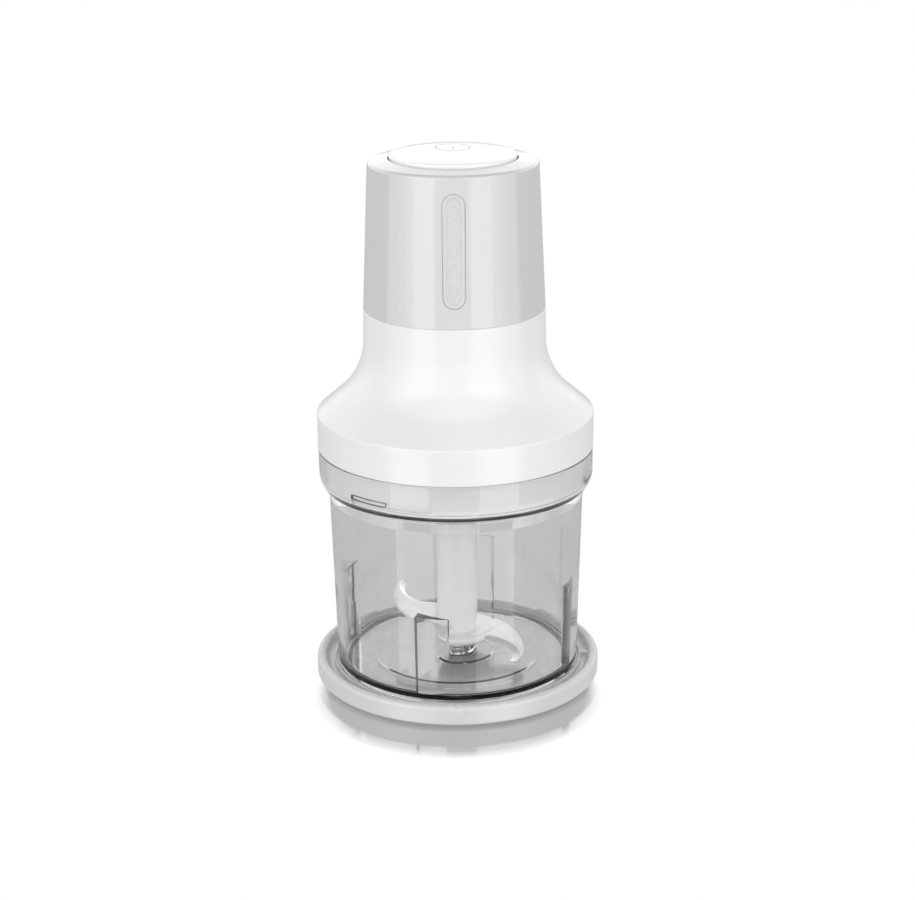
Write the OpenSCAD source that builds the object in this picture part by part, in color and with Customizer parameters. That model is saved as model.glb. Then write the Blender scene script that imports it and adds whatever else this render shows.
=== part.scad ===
// Press-top mini chopper: tray, bowl, blades, inner lid and a cordless motor head.
// Millimetres. The origin is the centre of the tray's underside, +Z is up, -Y is the front.

/* [Base tray] */
// Outer radius of the tray
tray_r = 62.8; // [61:0.1:66]
// Height of the tray's rounded rim
tray_h = 9.6; // [9:0.1:12]
// Width of the rim
rim_w = 4.2; // [3.6:0.1:4.6]
// Height of the floor that the bowl stands on
seat_z = 5.8; // [5.4:0.1:6.2]

/* [Bowl] */
// Outer radius of the wall just above its foot
bowl_foot_r = 53.2; // [52.6:0.1:53.6]
// Outer radius of the wall just below the collar
bowl_top_r = 55.3; // [54.8:0.1:55.6]
// Thickness of the wall
bowl_wall = 2.8; // [2.2:0.1:3]
// Outer radius of the collar
collar_r = 59.6; // [59.2:0.1:59.8]
// Height of the collar's top edge
collar_z = 106.3; // [105.5:0.1:106.3]
// Height of the inner floor
floor_z = 9; // [8.6:0.1:9.4]
// Height of the four inner ribs
rib_top_z = 47; // [35:1:60]

/* [Blades] */
// Radius of the hub's column at its foot
hub_r = 9; // [8.4:0.1:9.4]
// Radius of the flange below the column
flange_r = 16; // [14:0.5:18]
// Thickness of the steel blades
blade_t = 1.2; // [1:0.1:1.6]
// Slope of each blade, in degrees
blade_tilt = 11.5; // [8:0.5:12]

/* [Head] */
// Outer radius of the bell's skirt
skirt_r = 59.8; // [59.6:0.1:60.4]
// Height of the skirt's bottom edge
skirt_z = 106.6; // [106.6:0.1:107]
// Radius of the bell's neck at the seam
neck_r = 38.9; // [38.9:0.1:39.6]
// Height of the seam between bell and casing
seam_z = 167.4; // [164:0.2:172]
// Outer radius of the casing at its top edge
casing_top_r = 36.1; // [36:0.1:37]
// Height of the casing's top edge
casing_top_z = 229.4; // [229:0.1:231]
// Wall thickness of both housings
shell_t = 2.2; // [2:0.1:2.6]

/* [Button] */
// Radius of the push button
button_r = 26.9; // [24:0.1:27]
// Height of the crown
button_top_z = 236; // [235:0.1:237]
// Travel of the push button
button_travel = 3; // [2:0.1:3]

/* [Drive] */
// Size of one gear tooth (pitch diameter over tooth count)
gear_module = 0.75; // [0.7:0.01:0.78]
// Teeth on the sun gear
sun_teeth = 12; // [12:6:12]
// Teeth on each planet gear
planet_teeth = 18; // [18:6:18]
// Length of the motor's can
motor_len = 37.8; // [34:0.1:40]
// Radius of the motor's can
motor_r = 13.85; // [13:0.05:14]

/* [Hidden] */
$fn = 96;

// Colours
white = [0.93, 0.93, 0.94];
light_grey = [0.80, 0.80, 0.82];
smoke = [0.66, 0.67, 0.69, 0.45];
steel = [0.72, 0.73, 0.75];
dark = [0.16, 0.16, 0.17];
brass_tone = [0.75, 0.62, 0.35];
copper_tone = [0.72, 0.42, 0.25];

// Fits
run_gap = 0.05;     // a shaft in its bearing
slide_gap = 0.1;    // a piece that slides in a guide
seat_gap = 0.02;    // a moulded-in or pressed piece

// Base tray
ground_gap = 0.8;   // the grip ring stands this far below the tray
grip_in_r = 55.5;
grip_out_r = 60.5;
grip_h = 2;
tray_under_r = 50;
tray_floor_t = 2.6;
locate_r = 54.2;    // ring that centres the bowl
locate_w = 1.1;
locate_h = 1.6;
tab_w = 2.4;        // key beside the locating ring, on the right
rib_start = 12;     // inner end of the ribs under the tray
tray_rib_t = 1.6;

// Bowl
foot_recess = 0.8;
foot_in_r = 47.5;
foot_round = 1.6;
collar_round = 9;   // radius of the collar's lower corner
collar_mid_z = 95.8;
shelf_z = 91.5;     // the gasket lies on this shelf
collar_in_r = 56.8;
inner_round = 2.5;
floor_boss_r = 16;
floor_step_r = 36;
pin_boss_r = 8.5;
pin_boss_z = 12.5;
rib_turn = [-110, -20, 70, 160];   // azimuth of each steep edge, from the front towards +X
rib_span = 16;
rib_depth = 3.2;
lug_turn = [-160, -40, 80];   // azimuth of each bayonet lug
lug_span = 18;
lug_z = 94.6;
lug_h = 1.4;
lug_in_r = 55.2;

// Spindle pin
pin_base_r = 6.5;
pin_rib_r = 4.9;
pin_r = 3;
pin_rib_top = 16;
pin_top = 62;

// Blade hub
hub_foot_z = 16.6;
flange_top_z = 20;
hub_top_r = 8.2;
hub_top_z = 97;
hub_bore_r = 5;
bush_len = 8;
dog_r = 7.8;
dog_in_r = 3.8;
dog_h = 5;
dog_span = 30;
dog_count = 3;
lower_root_z = 21.4;   // where each blade's plane meets the hub's axis
upper_root_z = 23.6;
root_hole_r = 6;
blade_back_c = [4, -15];   // centre and radius of a blade's curved back
blade_back_r = 25.3;
blade_edge_c = [15, -21];  // centre and radius of its hollow cutting edge
blade_edge_r = 9.4;

// Inner lid
flange_out_r = 56.2;
lid_wall_r = 53.2;
gasket_t = 0.8;
flange_t = 1;
lid_floor_t = 2;
lid_bottom_z = shelf_z + gasket_t;
lid_top_z = lid_bottom_z + lid_floor_t;
lid_tube_r = 9.8;
lid_tube_wall = 2;
lid_tube_z = 99.2;
ramp_r = 45;
ramp_w = 7;
ramp_rise = 2.5;
lock_turn = 20;        // turn of the head from open to locked, in degrees
ramp_slope = ramp_rise / (ramp_r * sin(lock_turn));
ramp_z = lid_top_z + 0.3;

// Head base: locking ring and floor plate
ring_out_r = 56.4;
ring_in_r = 53.6;
ring_z = lid_bottom_z + flange_t + 0.1;
plate_z = skirt_z + 0.3;
plate_t = 2.4;
plate_top = plate_z + plate_t;
plate_r = 57;
nose_bore_r = 13;
groove_depth = 1.5;
screw_r = 1.5;
screw_hole_r = 1.6;
housing_screw_r = 48;  // circle of the four bell screws
frame_screw_r = 30;    // circle of the four frame screws
corner_turns = [45, 135, 225, 315];
boss_r = 3.6;

// Bell
flare_r = 33;          // radius of the concave flare
flare_turn = 48;       // part of a turn that the flare takes, in degrees
flare_top_z = 155;
bell_neck_r = neck_r + 0.2;

// Casing
lip_h = 7.4;
lip_gap = 0.15;
badge_w = 9.4;
badge_low_z = 176.1;
badge_high_z = 223.3;
badge_depth = 0.7;
badge_border = 1.3;
opening_r = button_r + 0.5;
crown_edge_z = 231.9;  // height of the casing at the button's gap

// Button
button_side_z = 233.4;
button_bottom_z = 224.5;
crown_edge_r = button_r - 0.6;
crown_rise = button_top_z - button_side_z;
crown_r = (pow(crown_edge_r, 2) + pow(crown_rise, 2)) / (2 * crown_rise);
button_wall = 2;
retain_r = 29.4;
retain_top_z = 228.6;
button_boss_r = 9.2;
button_boss_z = 226;
post_r = 3.5;
post_z = 216.6;
icon_r = 7.25;
icon_w = 0.7;

// Board and switch
board_z = 203;
board_t = 1.6;
board_r = 32;
board_top = board_z + board_t;
switch_r = 9;
switch_top = 211;
plunger_r = 2.4;
plunger_low = board_top + 0.4 + button_travel;
spring_wire_r = 0.5;

// Frame, motor and cells
frame_low_z = 129.5;
frame_plate_t = 2.5;
frame_high_z = 199;
frame_r = 33.6;
column_r = 3.4;
cell_r = 9.2;
cell_len = 65;
cell_x = 24.2;
cell_z = 133.4;
motor_z = 125.7;
motor_wall = 1;
shaft_r = 1.5;
motor_end_z = motor_z + motor_len;

// Gears
ring_teeth = sun_teeth + 2 * planet_teeth;
gear_z = 115.8;
gear_h = 6.4;
planet_r = gear_module * (sun_teeth + planet_teeth) / 2;
planet_turns = [0, 120, 240];
ring_gear_r = 21;
box_r = 23.6;
box_top = 124.2;
carrier_z = 113;
carrier_t = 2.4;
output_r = 4;
ear_r = 27;
ear_turns = [90, 210, 330];

// Interlock
rod_r = 1.5;
rod_y = ramp_r;
rod_low = ramp_z + 0.35;
rod_top = 118.2;
rod_collar_z = 111.1;
bridge_z = 120;

// Charging port, at the back of the casing
port_z = board_top + 1.65;
port_w = 9;
port_h = 3.3;
cover_w = 15;
cover_h = 10;
cover_depth = 1.6;
hinge_z = port_z + cover_h / 2 + 0.2;

// Outer radius of the casing at height z
function casing_r(z) = neck_r + (casing_top_r - neck_r) * (z - seam_z) / (casing_top_z - seam_z);

// Outer radius of the bowl's wall at height z
function wall_r(z) = bowl_foot_r + (bowl_top_r - bowl_foot_r) * (z - 8) / 76;

// Points of an arc about c, from angle a0 to a1
function arc(c, r, a0, a1, steps = 8) =
    [for (i = [0:steps]) let (a = a0 + (a1 - a0) * i / steps) [c[0] + r * cos(a), c[1] + r * sin(a)]];

// Turns children by an azimuth measured from the front (-Y) towards +X
module at_azimuth(turn) {
    rotate([0, 0, turn - 90]) children();
}

// Moves children out to radius r at angle a
module polar(a, r) {
    rotate([0, 0, a]) translate([r, 0, 0]) children();
}

// Ring between two radii and two heights
module ring(r_in, r_out, z0, z1) {
    translate([0, 0, z0]) difference() {
        cylinder(r = r_out, h = z1 - z0);
        translate([0, 0, -1]) cylinder(r = r_in, h = z1 - z0 + 2);
    }
}

// Disc between two heights
module disc(r, z0, z1) {
    translate([0, 0, z0]) cylinder(r = r, h = z1 - z0);
}

// Sector of a ring, centred on local +X
module sector(r_in, r_out, span, z0, z1) {
    translate([0, 0, z0]) rotate([0, 0, -span / 2])
        rotate_extrude(angle = span) translate([r_in, 0]) square([r_out - r_in, z1 - z0]);
}

// Screw along Z with its head at the lower end (dir = -1) or the upper end (dir = 1)
module screw(z_tip, z_head, head_r, head_h, dir) {
    slot = head_r * 1.2;
    difference() {
        union() {
            disc(screw_r, min(z_tip, z_head), max(z_tip, z_head));
            disc(head_r, min(z_head, z_head + dir * head_h), max(z_head, z_head + dir * head_h));
        }
        for (a = [0, 90]) {
            translate([0, 0, z_head + dir * head_h]) rotate([0, 0, a])
                cube([slot, 0.7, head_h], center = true);
        }
    }
}

// Coil spring along Z
module coil_spring(coil_r, wire_r, z0, z1, turns) {
    sides = 8;
    per_turn = 16;
    count = turns * per_turn;
    points = [
        for (i = [0:count], j = [0:sides - 1])
            let (
                a = 360 * i / per_turn,
                b = 360 * j / sides,
                r = coil_r + wire_r * cos(b),
                z = z0 + wire_r + (z1 - z0 - 2 * wire_r) * i / count + wire_r * sin(b)
            )
            [r * cos(a), r * sin(a), z]
    ];
    walls = [
        for (i = [0:count - 1], j = [0:sides - 1])
            let (k = (j + 1) % sides)
            [i * sides + j, (i + 1) * sides + j, (i + 1) * sides + k, i * sides + k]
    ];
    start_cap = [[for (j = [0:sides - 1]) j]];
    end_cap = [[for (j = [sides - 1:-1:0]) count * sides + j]];
    polyhedron(points = points, faces = concat(walls, start_cap, end_cap));
}

// Outline of an outside gear with a tooth on +X
module gear_outline(teeth) {
    pitch_r = gear_module * teeth / 2;
    rim = [[-1.25, pitch_r - 0.95 * gear_module], [-0.84, pitch_r], [-0.42, pitch_r + 0.75 * gear_module]];
    polygon([
        for (i = [0:teeth - 1], s = [-1, 1], k = [0:2])
            let (p = s < 0 ? rim[k] : rim[2 - k], a = 360 / teeth * i - s * p[0] * 90 / teeth)
            [p[1] * cos(a), p[1] * sin(a)]
    ]);
}

// Opening of an inside gear with a tooth on +X
module ring_outline(teeth) {
    pitch_r = gear_module * teeth / 2;
    rim = [[-1.2, pitch_r + 0.95 * gear_module], [-0.84, pitch_r], [-0.45, pitch_r - 0.7 * gear_module]];
    polygon([
        for (i = [0:teeth - 1], s = [-1, 1], k = [0:2])
            let (p = s < 0 ? rim[k] : rim[2 - k], a = 360 / teeth * i - s * p[0] * 90 / teeth)
            [p[1] * cos(a), p[1] * sin(a)]
    ]);
}

// ---------- Base ----------

module base_tray() {
    rim_in_r = tray_r - rim_w;
    bead_r = rim_w / 2;
    color(white) difference() {
        union() {
            rotate_extrude() polygon(concat(
                [[0, seat_z - tray_floor_t], [tray_under_r, seat_z - tray_floor_t]],
                [[tray_under_r, ground_gap]],
                arc([tray_r - 1.2, ground_gap + 1.2], 1.2, -90, 0, 4),
                arc([tray_r - bead_r, tray_h - bead_r], bead_r, 0, 150, 12),
                [[rim_in_r - 0.6, seat_z + 0.7], [rim_in_r - 1.3, seat_z]],
                [[locate_r + locate_w, seat_z], [locate_r + locate_w - 0.2, seat_z + locate_h]],
                [[locate_r + 0.2, seat_z + locate_h], [locate_r, seat_z], [0, seat_z]]
            ));
            at_azimuth(90) translate([locate_r + 0.5, -tab_w / 2, seat_z - 1])
                cube([rim_in_r - locate_r, tab_w, tab_w]);
            for (a = [22.5:45:337.5]) {
                polar(a, rib_start) translate([0, -tray_rib_t / 2, ground_gap + 0.4])
                    cube([tray_under_r - rib_start + 1, tray_rib_t, 2.4]);
            }
        }
        ring(grip_in_r - seat_gap, grip_out_r + seat_gap, ground_gap - 1, grip_h);
    }
}

module base_grip_ring() {
    color(dark) rotate_extrude() polygon(concat(
        arc([grip_in_r + 0.5, 0.5], 0.5, 180, 270, 4),
        arc([grip_out_r - 0.5, 0.5], 0.5, 270, 360, 4),
        [[grip_out_r, grip_h], [grip_in_r, grip_h]]
    ));
}

// ---------- Bowl ----------

module bowl_shell() {
    foot_z = seat_z;
    lip = 0.6;
    rotate_extrude() polygon(concat(
        [[0, foot_z + foot_recess], [foot_in_r, foot_z + foot_recess], [foot_in_r + foot_recess, foot_z]],
        arc([bowl_foot_r - foot_round, foot_z + foot_round], foot_round, -90, 0, 5),
        [[bowl_top_r, 84.6]],
        arc([collar_r - collar_round, collar_mid_z], collar_round, -45, 0, 9),
        arc([collar_r - lip, collar_z - lip], lip, 0, 90, 4),
        [[collar_in_r, collar_z], [collar_in_r, shelf_z], [bowl_top_r - bowl_wall + 0.6, shelf_z]],
        [[bowl_top_r - bowl_wall, shelf_z - 0.6], [bowl_top_r - bowl_wall, 84.6]],
        arc([wall_r(12) - bowl_wall - inner_round, floor_z + inner_round], inner_round, 0, -90, 6),
        [[floor_step_r + 0.4, floor_z], [floor_step_r, floor_z + 0.4]],
        [[floor_boss_r + 0.4, floor_z + 0.4], [floor_boss_r, floor_z + 0.9], [0, floor_z + 0.9]]
    ));
}

// One inner rib: a wedge with a steep edge that thins out along the wall
module bowl_rib() {
    steps = 8;
    outer_r = wall_r(12) - 1;
    inner_r = wall_r(30) - bowl_wall;
    outline = concat(
        [for (i = [0:steps]) let (a = rib_span * i / steps) [outer_r * cos(a), outer_r * sin(a)]],
        [for (i = [steps:-1:0]) let (a = rib_span * i / steps, r = inner_r - rib_depth * (1 - i / steps))
            [r * cos(a), r * sin(a)]]
    );
    difference() {
        translate([0, 0, floor_z - 0.5]) linear_extrude(rib_top_z - floor_z + 0.5) polygon(outline);
        translate([inner_r - rib_depth - 4, -1, rib_top_z - 0.2]) rotate([0, 14, 0]) cube([12, 20, 6]);
    }
}

module bowl() {
    color(smoke) difference() {
        union() {
            bowl_shell();
            disc(pin_boss_r, floor_z, pin_boss_z);
            for (a = rib_turn) {
                at_azimuth(a) bowl_rib();
            }
            for (a = lug_turn) {
                at_azimuth(a) sector(lug_in_r, collar_in_r + 0.5, lug_span, lug_z, lug_z + lug_h);
            }
        }
        disc(pin_base_r + seat_gap, 7.6, floor_z + 0.4);
        disc(pin_rib_r + seat_gap, 7.6, pin_boss_z + 1);
    }
}

module spindle_pin() {
    color(steel) union() {
        disc(pin_base_r, 7.6, floor_z + 0.4);
        rotate_extrude() polygon(concat(
            [[0, 8], [pin_rib_r, 8], [pin_rib_r, pin_boss_z]],
            [for (i = [0:4], s = [0, 1]) [pin_rib_r - 0.7 * (1 - s), pin_boss_z + 0.35 + 0.7 * i + 0.35 * s]],
            [[pin_rib_r - 0.4, pin_rib_top + 0.2], [pin_r, pin_rib_top + 0.2]],
            [[pin_r, pin_top - 1], [pin_r - 1, pin_top], [0, pin_top]]
        ));
    }
}

// ---------- Blades ----------

// Crescent outline of one blade; the root is a plate round the hub's bore
module blade_outline() {
    difference() {
        union() {
            intersection() {
                translate(blade_back_c) circle(r = blade_back_r);
                polygon([
                    [3, -9], [15, -11.6], blade_edge_c, [22.9, -26.1], [25.8, -28.2],
                    [45, -24], [45, 10], [3, 10]
                ]);
            }
            translate([24.5, -26.4]) circle(r = 1.5, $fn = 24);
        }
        translate(blade_edge_c) circle(r = blade_edge_r);
        circle(r = root_hole_r);
    }
}

// Blade plate, sloping down along the diagonal of its tip
module blade_plate(slope) {
    rotate([0, 0, -45]) rotate([0, slope, 0]) rotate([0, 0, 45])
        linear_extrude(blade_t) blade_outline();
}

module place_lower() {
    translate([0, 0, lower_root_z]) blade_plate(blade_tilt);
}

module place_upper() {
    translate([0, 0, upper_root_z]) rotate([0, 0, 180]) blade_plate(-blade_tilt);
}

module lower_blade() {
    color(steel) place_lower();
}

module upper_blade() {
    color(steel) place_upper();
}

module blade_hub() {
    color(white) difference() {
        union() {
            rotate_extrude() polygon(concat(
                [[0, hub_foot_z], [flange_r - 3.4, hub_foot_z]],
                arc([flange_r - 2.8, hub_foot_z + 2.6], 2.8, -68, 0, 6),
                [[flange_r, flange_top_z - 0.6], [flange_r - 0.6, flange_top_z]],
                arc([hub_r + 2, flange_top_z + 2], 2, 270, 180, 6),
                [[hub_top_r, hub_top_z], [0, hub_top_z]]
            ));
            for (i = [0:dog_count - 1]) {
                rotate([0, 0, 360 / dog_count * i])
                    sector(dog_in_r, dog_r, dog_span, hub_top_z - 1, hub_top_z + dog_h);
            }
        }
        disc(hub_bore_r, hub_foot_z - 1, pin_top + 3);
        place_lower();
        place_upper();
    }
}

module hub_bushes() {
    color(brass_tone) union() {
        ring(pin_r + run_gap, hub_bore_r - seat_gap, hub_foot_z + 1, hub_foot_z + 1 + bush_len);
        ring(pin_r + run_gap, hub_bore_r - seat_gap, pin_top - 3 - bush_len, pin_top - 3);
    }
}

// ---------- Inner lid ----------

module splash_lid() {
    color(white) difference() {
        union() {
            disc(flange_out_r, lid_bottom_z, lid_bottom_z + flange_t);
            disc(lid_wall_r, lid_bottom_z, lid_top_z);
            disc(lid_tube_r + lid_tube_wall, lid_bottom_z, lid_tube_z);
            ring(lid_wall_r - 1.6, lid_wall_r, lid_top_z - 0.5, lid_top_z + 4);
            for (a = [0, 180]) {
                rotate([0, 0, a]) translate([20, -1, lid_top_z - 0.5]) cube([12, 2, 6]);
            }
            lid_ramp();
        }
        disc(lid_tube_r, lid_bottom_z - 1, lid_tube_z + 1);
        for (a = lug_turn) {
            at_azimuth(a)
                sector(lug_in_r - 0.4, flange_out_r + 2, lug_span + 2, lid_bottom_z - 1, lid_bottom_z + 3);
        }
    }
}

// Ramp that lifts the interlock rod as the head turns to its locked place
module lid_ramp() {
    reach = ramp_r * sin(lock_turn) + 3;
    translate([0, ramp_r + 1.5, 0]) rotate([90, 0, 0]) linear_extrude(ramp_w)
        polygon([
            [-4, lid_top_z - 0.5], [reach, lid_top_z - 0.5],
            [reach, ramp_z + reach * ramp_slope], [0, ramp_z], [-4, ramp_z]
        ]);
}

module lid_gasket() {
    color(dark) ring(bowl_top_r - bowl_wall + 0.7, lug_in_r - 0.5, shelf_z, shelf_z + gasket_t);
}

// ---------- Head base ----------

module bayonet_groove() {
    back = ring_out_r - groove_depth;
    sector(back, ring_out_r + 2, lug_span + 1.2, ring_z - 1, lug_z + 1);
    rotate([0, 0, lock_turn / 2])
        sector(back, ring_out_r + 2, lug_span + 1.6 + lock_turn, lug_z - 0.6, lug_z + lug_h + 0.6);
}

module head_base() {
    color(white) difference() {
        union() {
            ring(ring_in_r, ring_out_r, ring_z, plate_z + 0.5);
            disc(plate_r, plate_z, plate_top);
            for (x = [-1, 1]) {
                translate([x * 7.9 - 1.2, rod_y - 3, plate_top - 0.5])
                    cube([2.4, 6, bridge_z + 8 - plate_top]);
            }
            translate([-8, rod_y - 3, bridge_z]) cube([16, 6, 0.9]);
            translate([0, rod_y, 0]) disc(3.4, plate_top - 0.5, plate_top + 1.5);
        }
        disc(nose_bore_r, ring_z, plate_top + 1);
        translate([0, rod_y, 0]) disc(rod_r + slide_gap, plate_z - 1, bridge_z + 2);
        for (a = lug_turn) {
            at_azimuth(a) bayonet_groove();
        }
        for (a = corner_turns, r = [housing_screw_r, frame_screw_r]) {
            polar(a, r) disc(screw_hole_r, plate_z - 1, plate_top + 1);
        }
        for (a = ear_turns) {
            polar(a, ear_r) disc(screw_r + seat_gap, plate_z + 0.7, plate_top + 1);
        }
    }
}

// ---------- Housings ----------

// Bell profile, moved inwards by t
function bell_points(t) =
    let (
        c = [bell_neck_r + flare_r, flare_top_z],
        r = flare_r + t,
        foot = [c[0] - r * cos(flare_turn), c[1] - r * sin(flare_turn)],
        edge_r = skirt_r - t,
        edge_z = foot[1] - (edge_r - foot[0]) / tan(flare_turn)
    )
    concat(
        [[edge_r, skirt_z]],
        arc([edge_r - 1, edge_z - 0.1], 1, 0, 90 - flare_turn, 3),
        arc(c, r, 180 + flare_turn, 180, 16),
        [[neck_r - t, seam_z]]
    );

module bell_solid(t) {
    rotate_extrude() polygon(concat([[0, skirt_z]], bell_points(t), [[0, seam_z]]));
}

module bell_housing() {
    color(white) difference() {
        union() {
            difference() {
                bell_solid(0);
                bell_solid(shell_t);
                disc(skirt_r - shell_t, skirt_z - 1, skirt_z + 0.1);
                disc(neck_r - shell_t, seam_z - 0.1, seam_z + 1);
            }
            intersection() {
                bell_solid(0.6);
                for (a = corner_turns) {
                    polar(a, housing_screw_r) disc(boss_r, plate_top, 140);
                }
            }
        }
        for (a = corner_turns) {
            polar(a, housing_screw_r) disc(screw_r + seat_gap, plate_top - 1, plate_top + 10);
        }
        ring(30, neck_r - shell_t + 0.5, seam_z - 6.4, seam_z - 4.8);
    }
}

// Solid of the casing's outer form, moved inwards by t
module casing_solid(t) {
    corner = 1.6;
    rotate_extrude() polygon(concat(
        [[0, seam_z], [neck_r - t, seam_z]],
        [[casing_r(casing_top_z - corner) - t, casing_top_z - corner]],
        arc([casing_top_r - corner - t, casing_top_z - corner + 0.7 - t * 0.7], corner, 10, 80, 6),
        [[opening_r + 0.3, crown_edge_z - t], [opening_r, crown_edge_z - 0.3 - t]],
        [[0, crown_edge_z - 0.3 - t]]
    ));
}

// Upright pill standing out from the front, grown by g
module pill(g) {
    r = badge_w / 2 + g;
    rotate([90, 0, 0]) linear_extrude(60) union() {
        translate([0, badge_low_z + badge_w / 2]) circle(r = r);
        translate([0, badge_high_z - badge_w / 2]) circle(r = r);
        translate([-r, badge_low_z + badge_w / 2]) square([2 * r, badge_high_z - badge_low_z - badge_w]);
    }
}

// Solid that follows the casing's outer cone between two heights, moved inwards by t
module casing_cone(low, high, t) {
    translate([0, 0, low]) cylinder(r1 = casing_r(low) - t, r2 = casing_r(high) - t, h = high - low);
}

// Layer of the casing round the badge, between two depths
module casing_layer(deep, shallow) {
    low = badge_low_z - 4;
    high = badge_high_z + 3;
    difference() {
        casing_cone(low, high, shallow);
        casing_cone(low - 1, high + 1, deep);
    }
}

module upper_casing() {
    lip_r = neck_r - shell_t - lip_gap;
    color(light_grey) difference() {
        union() {
            difference() {
                casing_solid(0);
                casing_solid(shell_t);
                disc(neck_r - shell_t - 2, seam_z - 1, seam_z + 1);
            }
            ring(lip_r - 2, lip_r, seam_z - lip_h, seam_z + 1);
            ring(lip_r - 2, neck_r - 1, seam_z, seam_z + 1.6);
            for (a = [0:90:270]) {
                rotate([0, 0, a]) sector(lip_r - 1, lip_r + 0.4, 16, seam_z - 6, seam_z - 5.2);
            }
        }
        disc(opening_r, casing_top_z - 6, casing_top_z + 5);
        intersection() {
            pill(0.1);
            casing_layer(badge_depth, -1);
        }
        translate([-cover_w / 2, 25, port_z - cover_h / 2]) intersection() {
            cube([cover_w, 20, cover_h]);
            translate([cover_w / 2, -25, cover_h / 2 - port_z]) casing_layer_back(cover_depth);
        }
        translate([-port_w / 2 - 0.1, 25, port_z - port_h / 2 - 0.1]) cube([port_w + 0.2, 15, port_h + 0.2]);
        translate([0, 25, hinge_z + 3.4]) rotate([-90, 0, 0]) cylinder(r = 1.02, h = 15);
    }
}

// Layer of the casing's back around the port, from the given depth outwards
module casing_layer_back(deep) {
    low = port_z - 10;
    high = port_z + 10;
    difference() {
        disc(neck_r + 2, low, high);
        casing_cone(low - 1, high + 1, deep);
    }
}

module badge_insert() {
    color(light_grey) union() {
        intersection() {
            pill(0);
            casing_layer(badge_depth, 0.15);
        }
        intersection() {
            difference() {
                pill(-0.3);
                translate([0, 1, 0]) pill(-0.3 - badge_border);
            }
            casing_layer(badge_depth, -0.2);
        }
    }
}

// ---------- Button ----------

module button_solid() {
    half = asin(crown_edge_r / crown_r);
    rotate_extrude() polygon(concat(
        [[0, button_bottom_z], [button_r, button_bottom_z], [button_r, button_side_z - 0.5]],
        arc([0, button_top_z - crown_r], crown_r, 90 - half, 90, 10)
    ));
}

module press_button() {
    color(white) difference() {
        union() {
            difference() {
                union() {
                    button_solid();
                    disc(retain_r, button_bottom_z, retain_top_z);
                }
                difference() {
                    translate([0, 0, -button_wall - 0.4]) button_solid();
                    ring(button_r - button_wall, 40, 200, 240);
                }
            }
            ring(button_boss_r - 1.6, button_boss_r, button_boss_z, button_top_z - 1);
            disc(post_r, post_z, button_top_z - 1);
        }
        icon_recess();
    }
}

module icon_recess() {
    ring(icon_r - icon_w / 2, icon_r + icon_w / 2, button_top_z - 0.8, button_top_z + 1);
    translate([-icon_w / 2, -4, button_top_z - 0.8]) cube([icon_w, 4.8, 2]);
}

module button_icon() {
    color([0.78, 0.79, 0.81]) intersection() {
        icon_recess();
        translate([0, 0, 0.08]) button_solid();
    }
}

module button_spring() {
    color(steel) coil_spring(6.6, spring_wire_r, switch_top, button_boss_z, 6);
}

module power_switch() {
    color(dark) difference() {
        union() {
            disc(switch_r, board_top, switch_top);
            translate([-7, -7, board_top]) cube([14, 14, 3]);
        }
        disc(plunger_r + slide_gap, board_top + 0.2, switch_top + 1);
    }
}

module switch_plunger() {
    color(white) disc(plunger_r, plunger_low, post_z - 0.05);
}

// ---------- Electronics ----------

module control_board() {
    color([0.10, 0.34, 0.20]) difference() {
        disc(board_r, board_z, board_top);
        for (a = corner_turns) {
            polar(a, frame_screw_r) disc(screw_hole_r - 0.4, board_z - 1, board_top + 1);
        }
        translate([port_w / 2 + 3, 27.5, board_z - 1]) cube([6, 8, 4]);
    }
}

module board_components() {
    color(dark) union() {
        for (i = [0:3]) {
            translate([-24 + 2.2 * (i % 2), -12 + 7 * i, board_top]) cube([6, 5, 2.2]);
        }
        for (i = [0:2]) {
            translate([17 + 2 * (i % 2), -14 + 10 * i, board_top]) cylinder(r = 3, h = 6);
        }
        translate([-9, -24, board_top]) cube([18, 6, 5.5]);
        translate([-6, 14, board_top]) cube([7, 7, 1.4]);
        for (i = [0:4]) {
            translate([6 + 2.4 * i, -15, board_top]) cube([1.6, 3, 1]);
        }
    }
}

module board_screws() {
    color(steel) for (a = corner_turns) {
        polar(a, frame_screw_r) intersection() {
            screw(board_z - 7, board_top, 2.2, 1.5, 1);
            union() {
                disc(1.1, board_z - 8, board_top + 0.1);
                disc(3, board_top, board_top + 3);
            }
        }
    }
}

module charge_socket() {
    inner_y = 28;
    mouth_y = casing_r(port_z) - cover_depth - 0.4;
    color(steel) difference() {
        translate([-port_w / 2, inner_y, port_z - port_h / 2]) cube([port_w, mouth_y - inner_y, port_h]);
        difference() {
            translate([-port_w / 2 + 0.4, inner_y + 1, port_z - port_h / 2 + 0.4])
                cube([port_w - 0.8, 12, port_h - 0.8]);
            translate([-3, inner_y, port_z - 0.35]) cube([6, mouth_y - inner_y - 1, 0.7]);
        }
    }
}

module port_cover() {
    gap = 0.4;
    color(light_grey) difference() {
        intersection() {
            translate([-cover_w / 2 + gap, 25, port_z - cover_h / 2 + gap])
                cube([cover_w - 2 * gap, 15, cover_h - 2 * gap]);
            casing_layer_back(cover_depth - 0.15);
            disc(casing_r(port_z) + 0.1, port_z - 10, port_z + 10);
        }
        translate([-4, casing_r(port_z) - 0.4, port_z - cover_h / 2]) cube([8, 2, 1.2]);
    }
}

module charge_light() {
    color([0.9, 0.95, 0.9]) translate([0, board_r - 1, hinge_z + 3.4]) rotate([-90, 0, 0])
        cylinder(r = 1, h = casing_r(hinge_z + 3.4) - board_r + 1.05);
}

// ---------- Frame, cells and screws ----------

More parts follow.
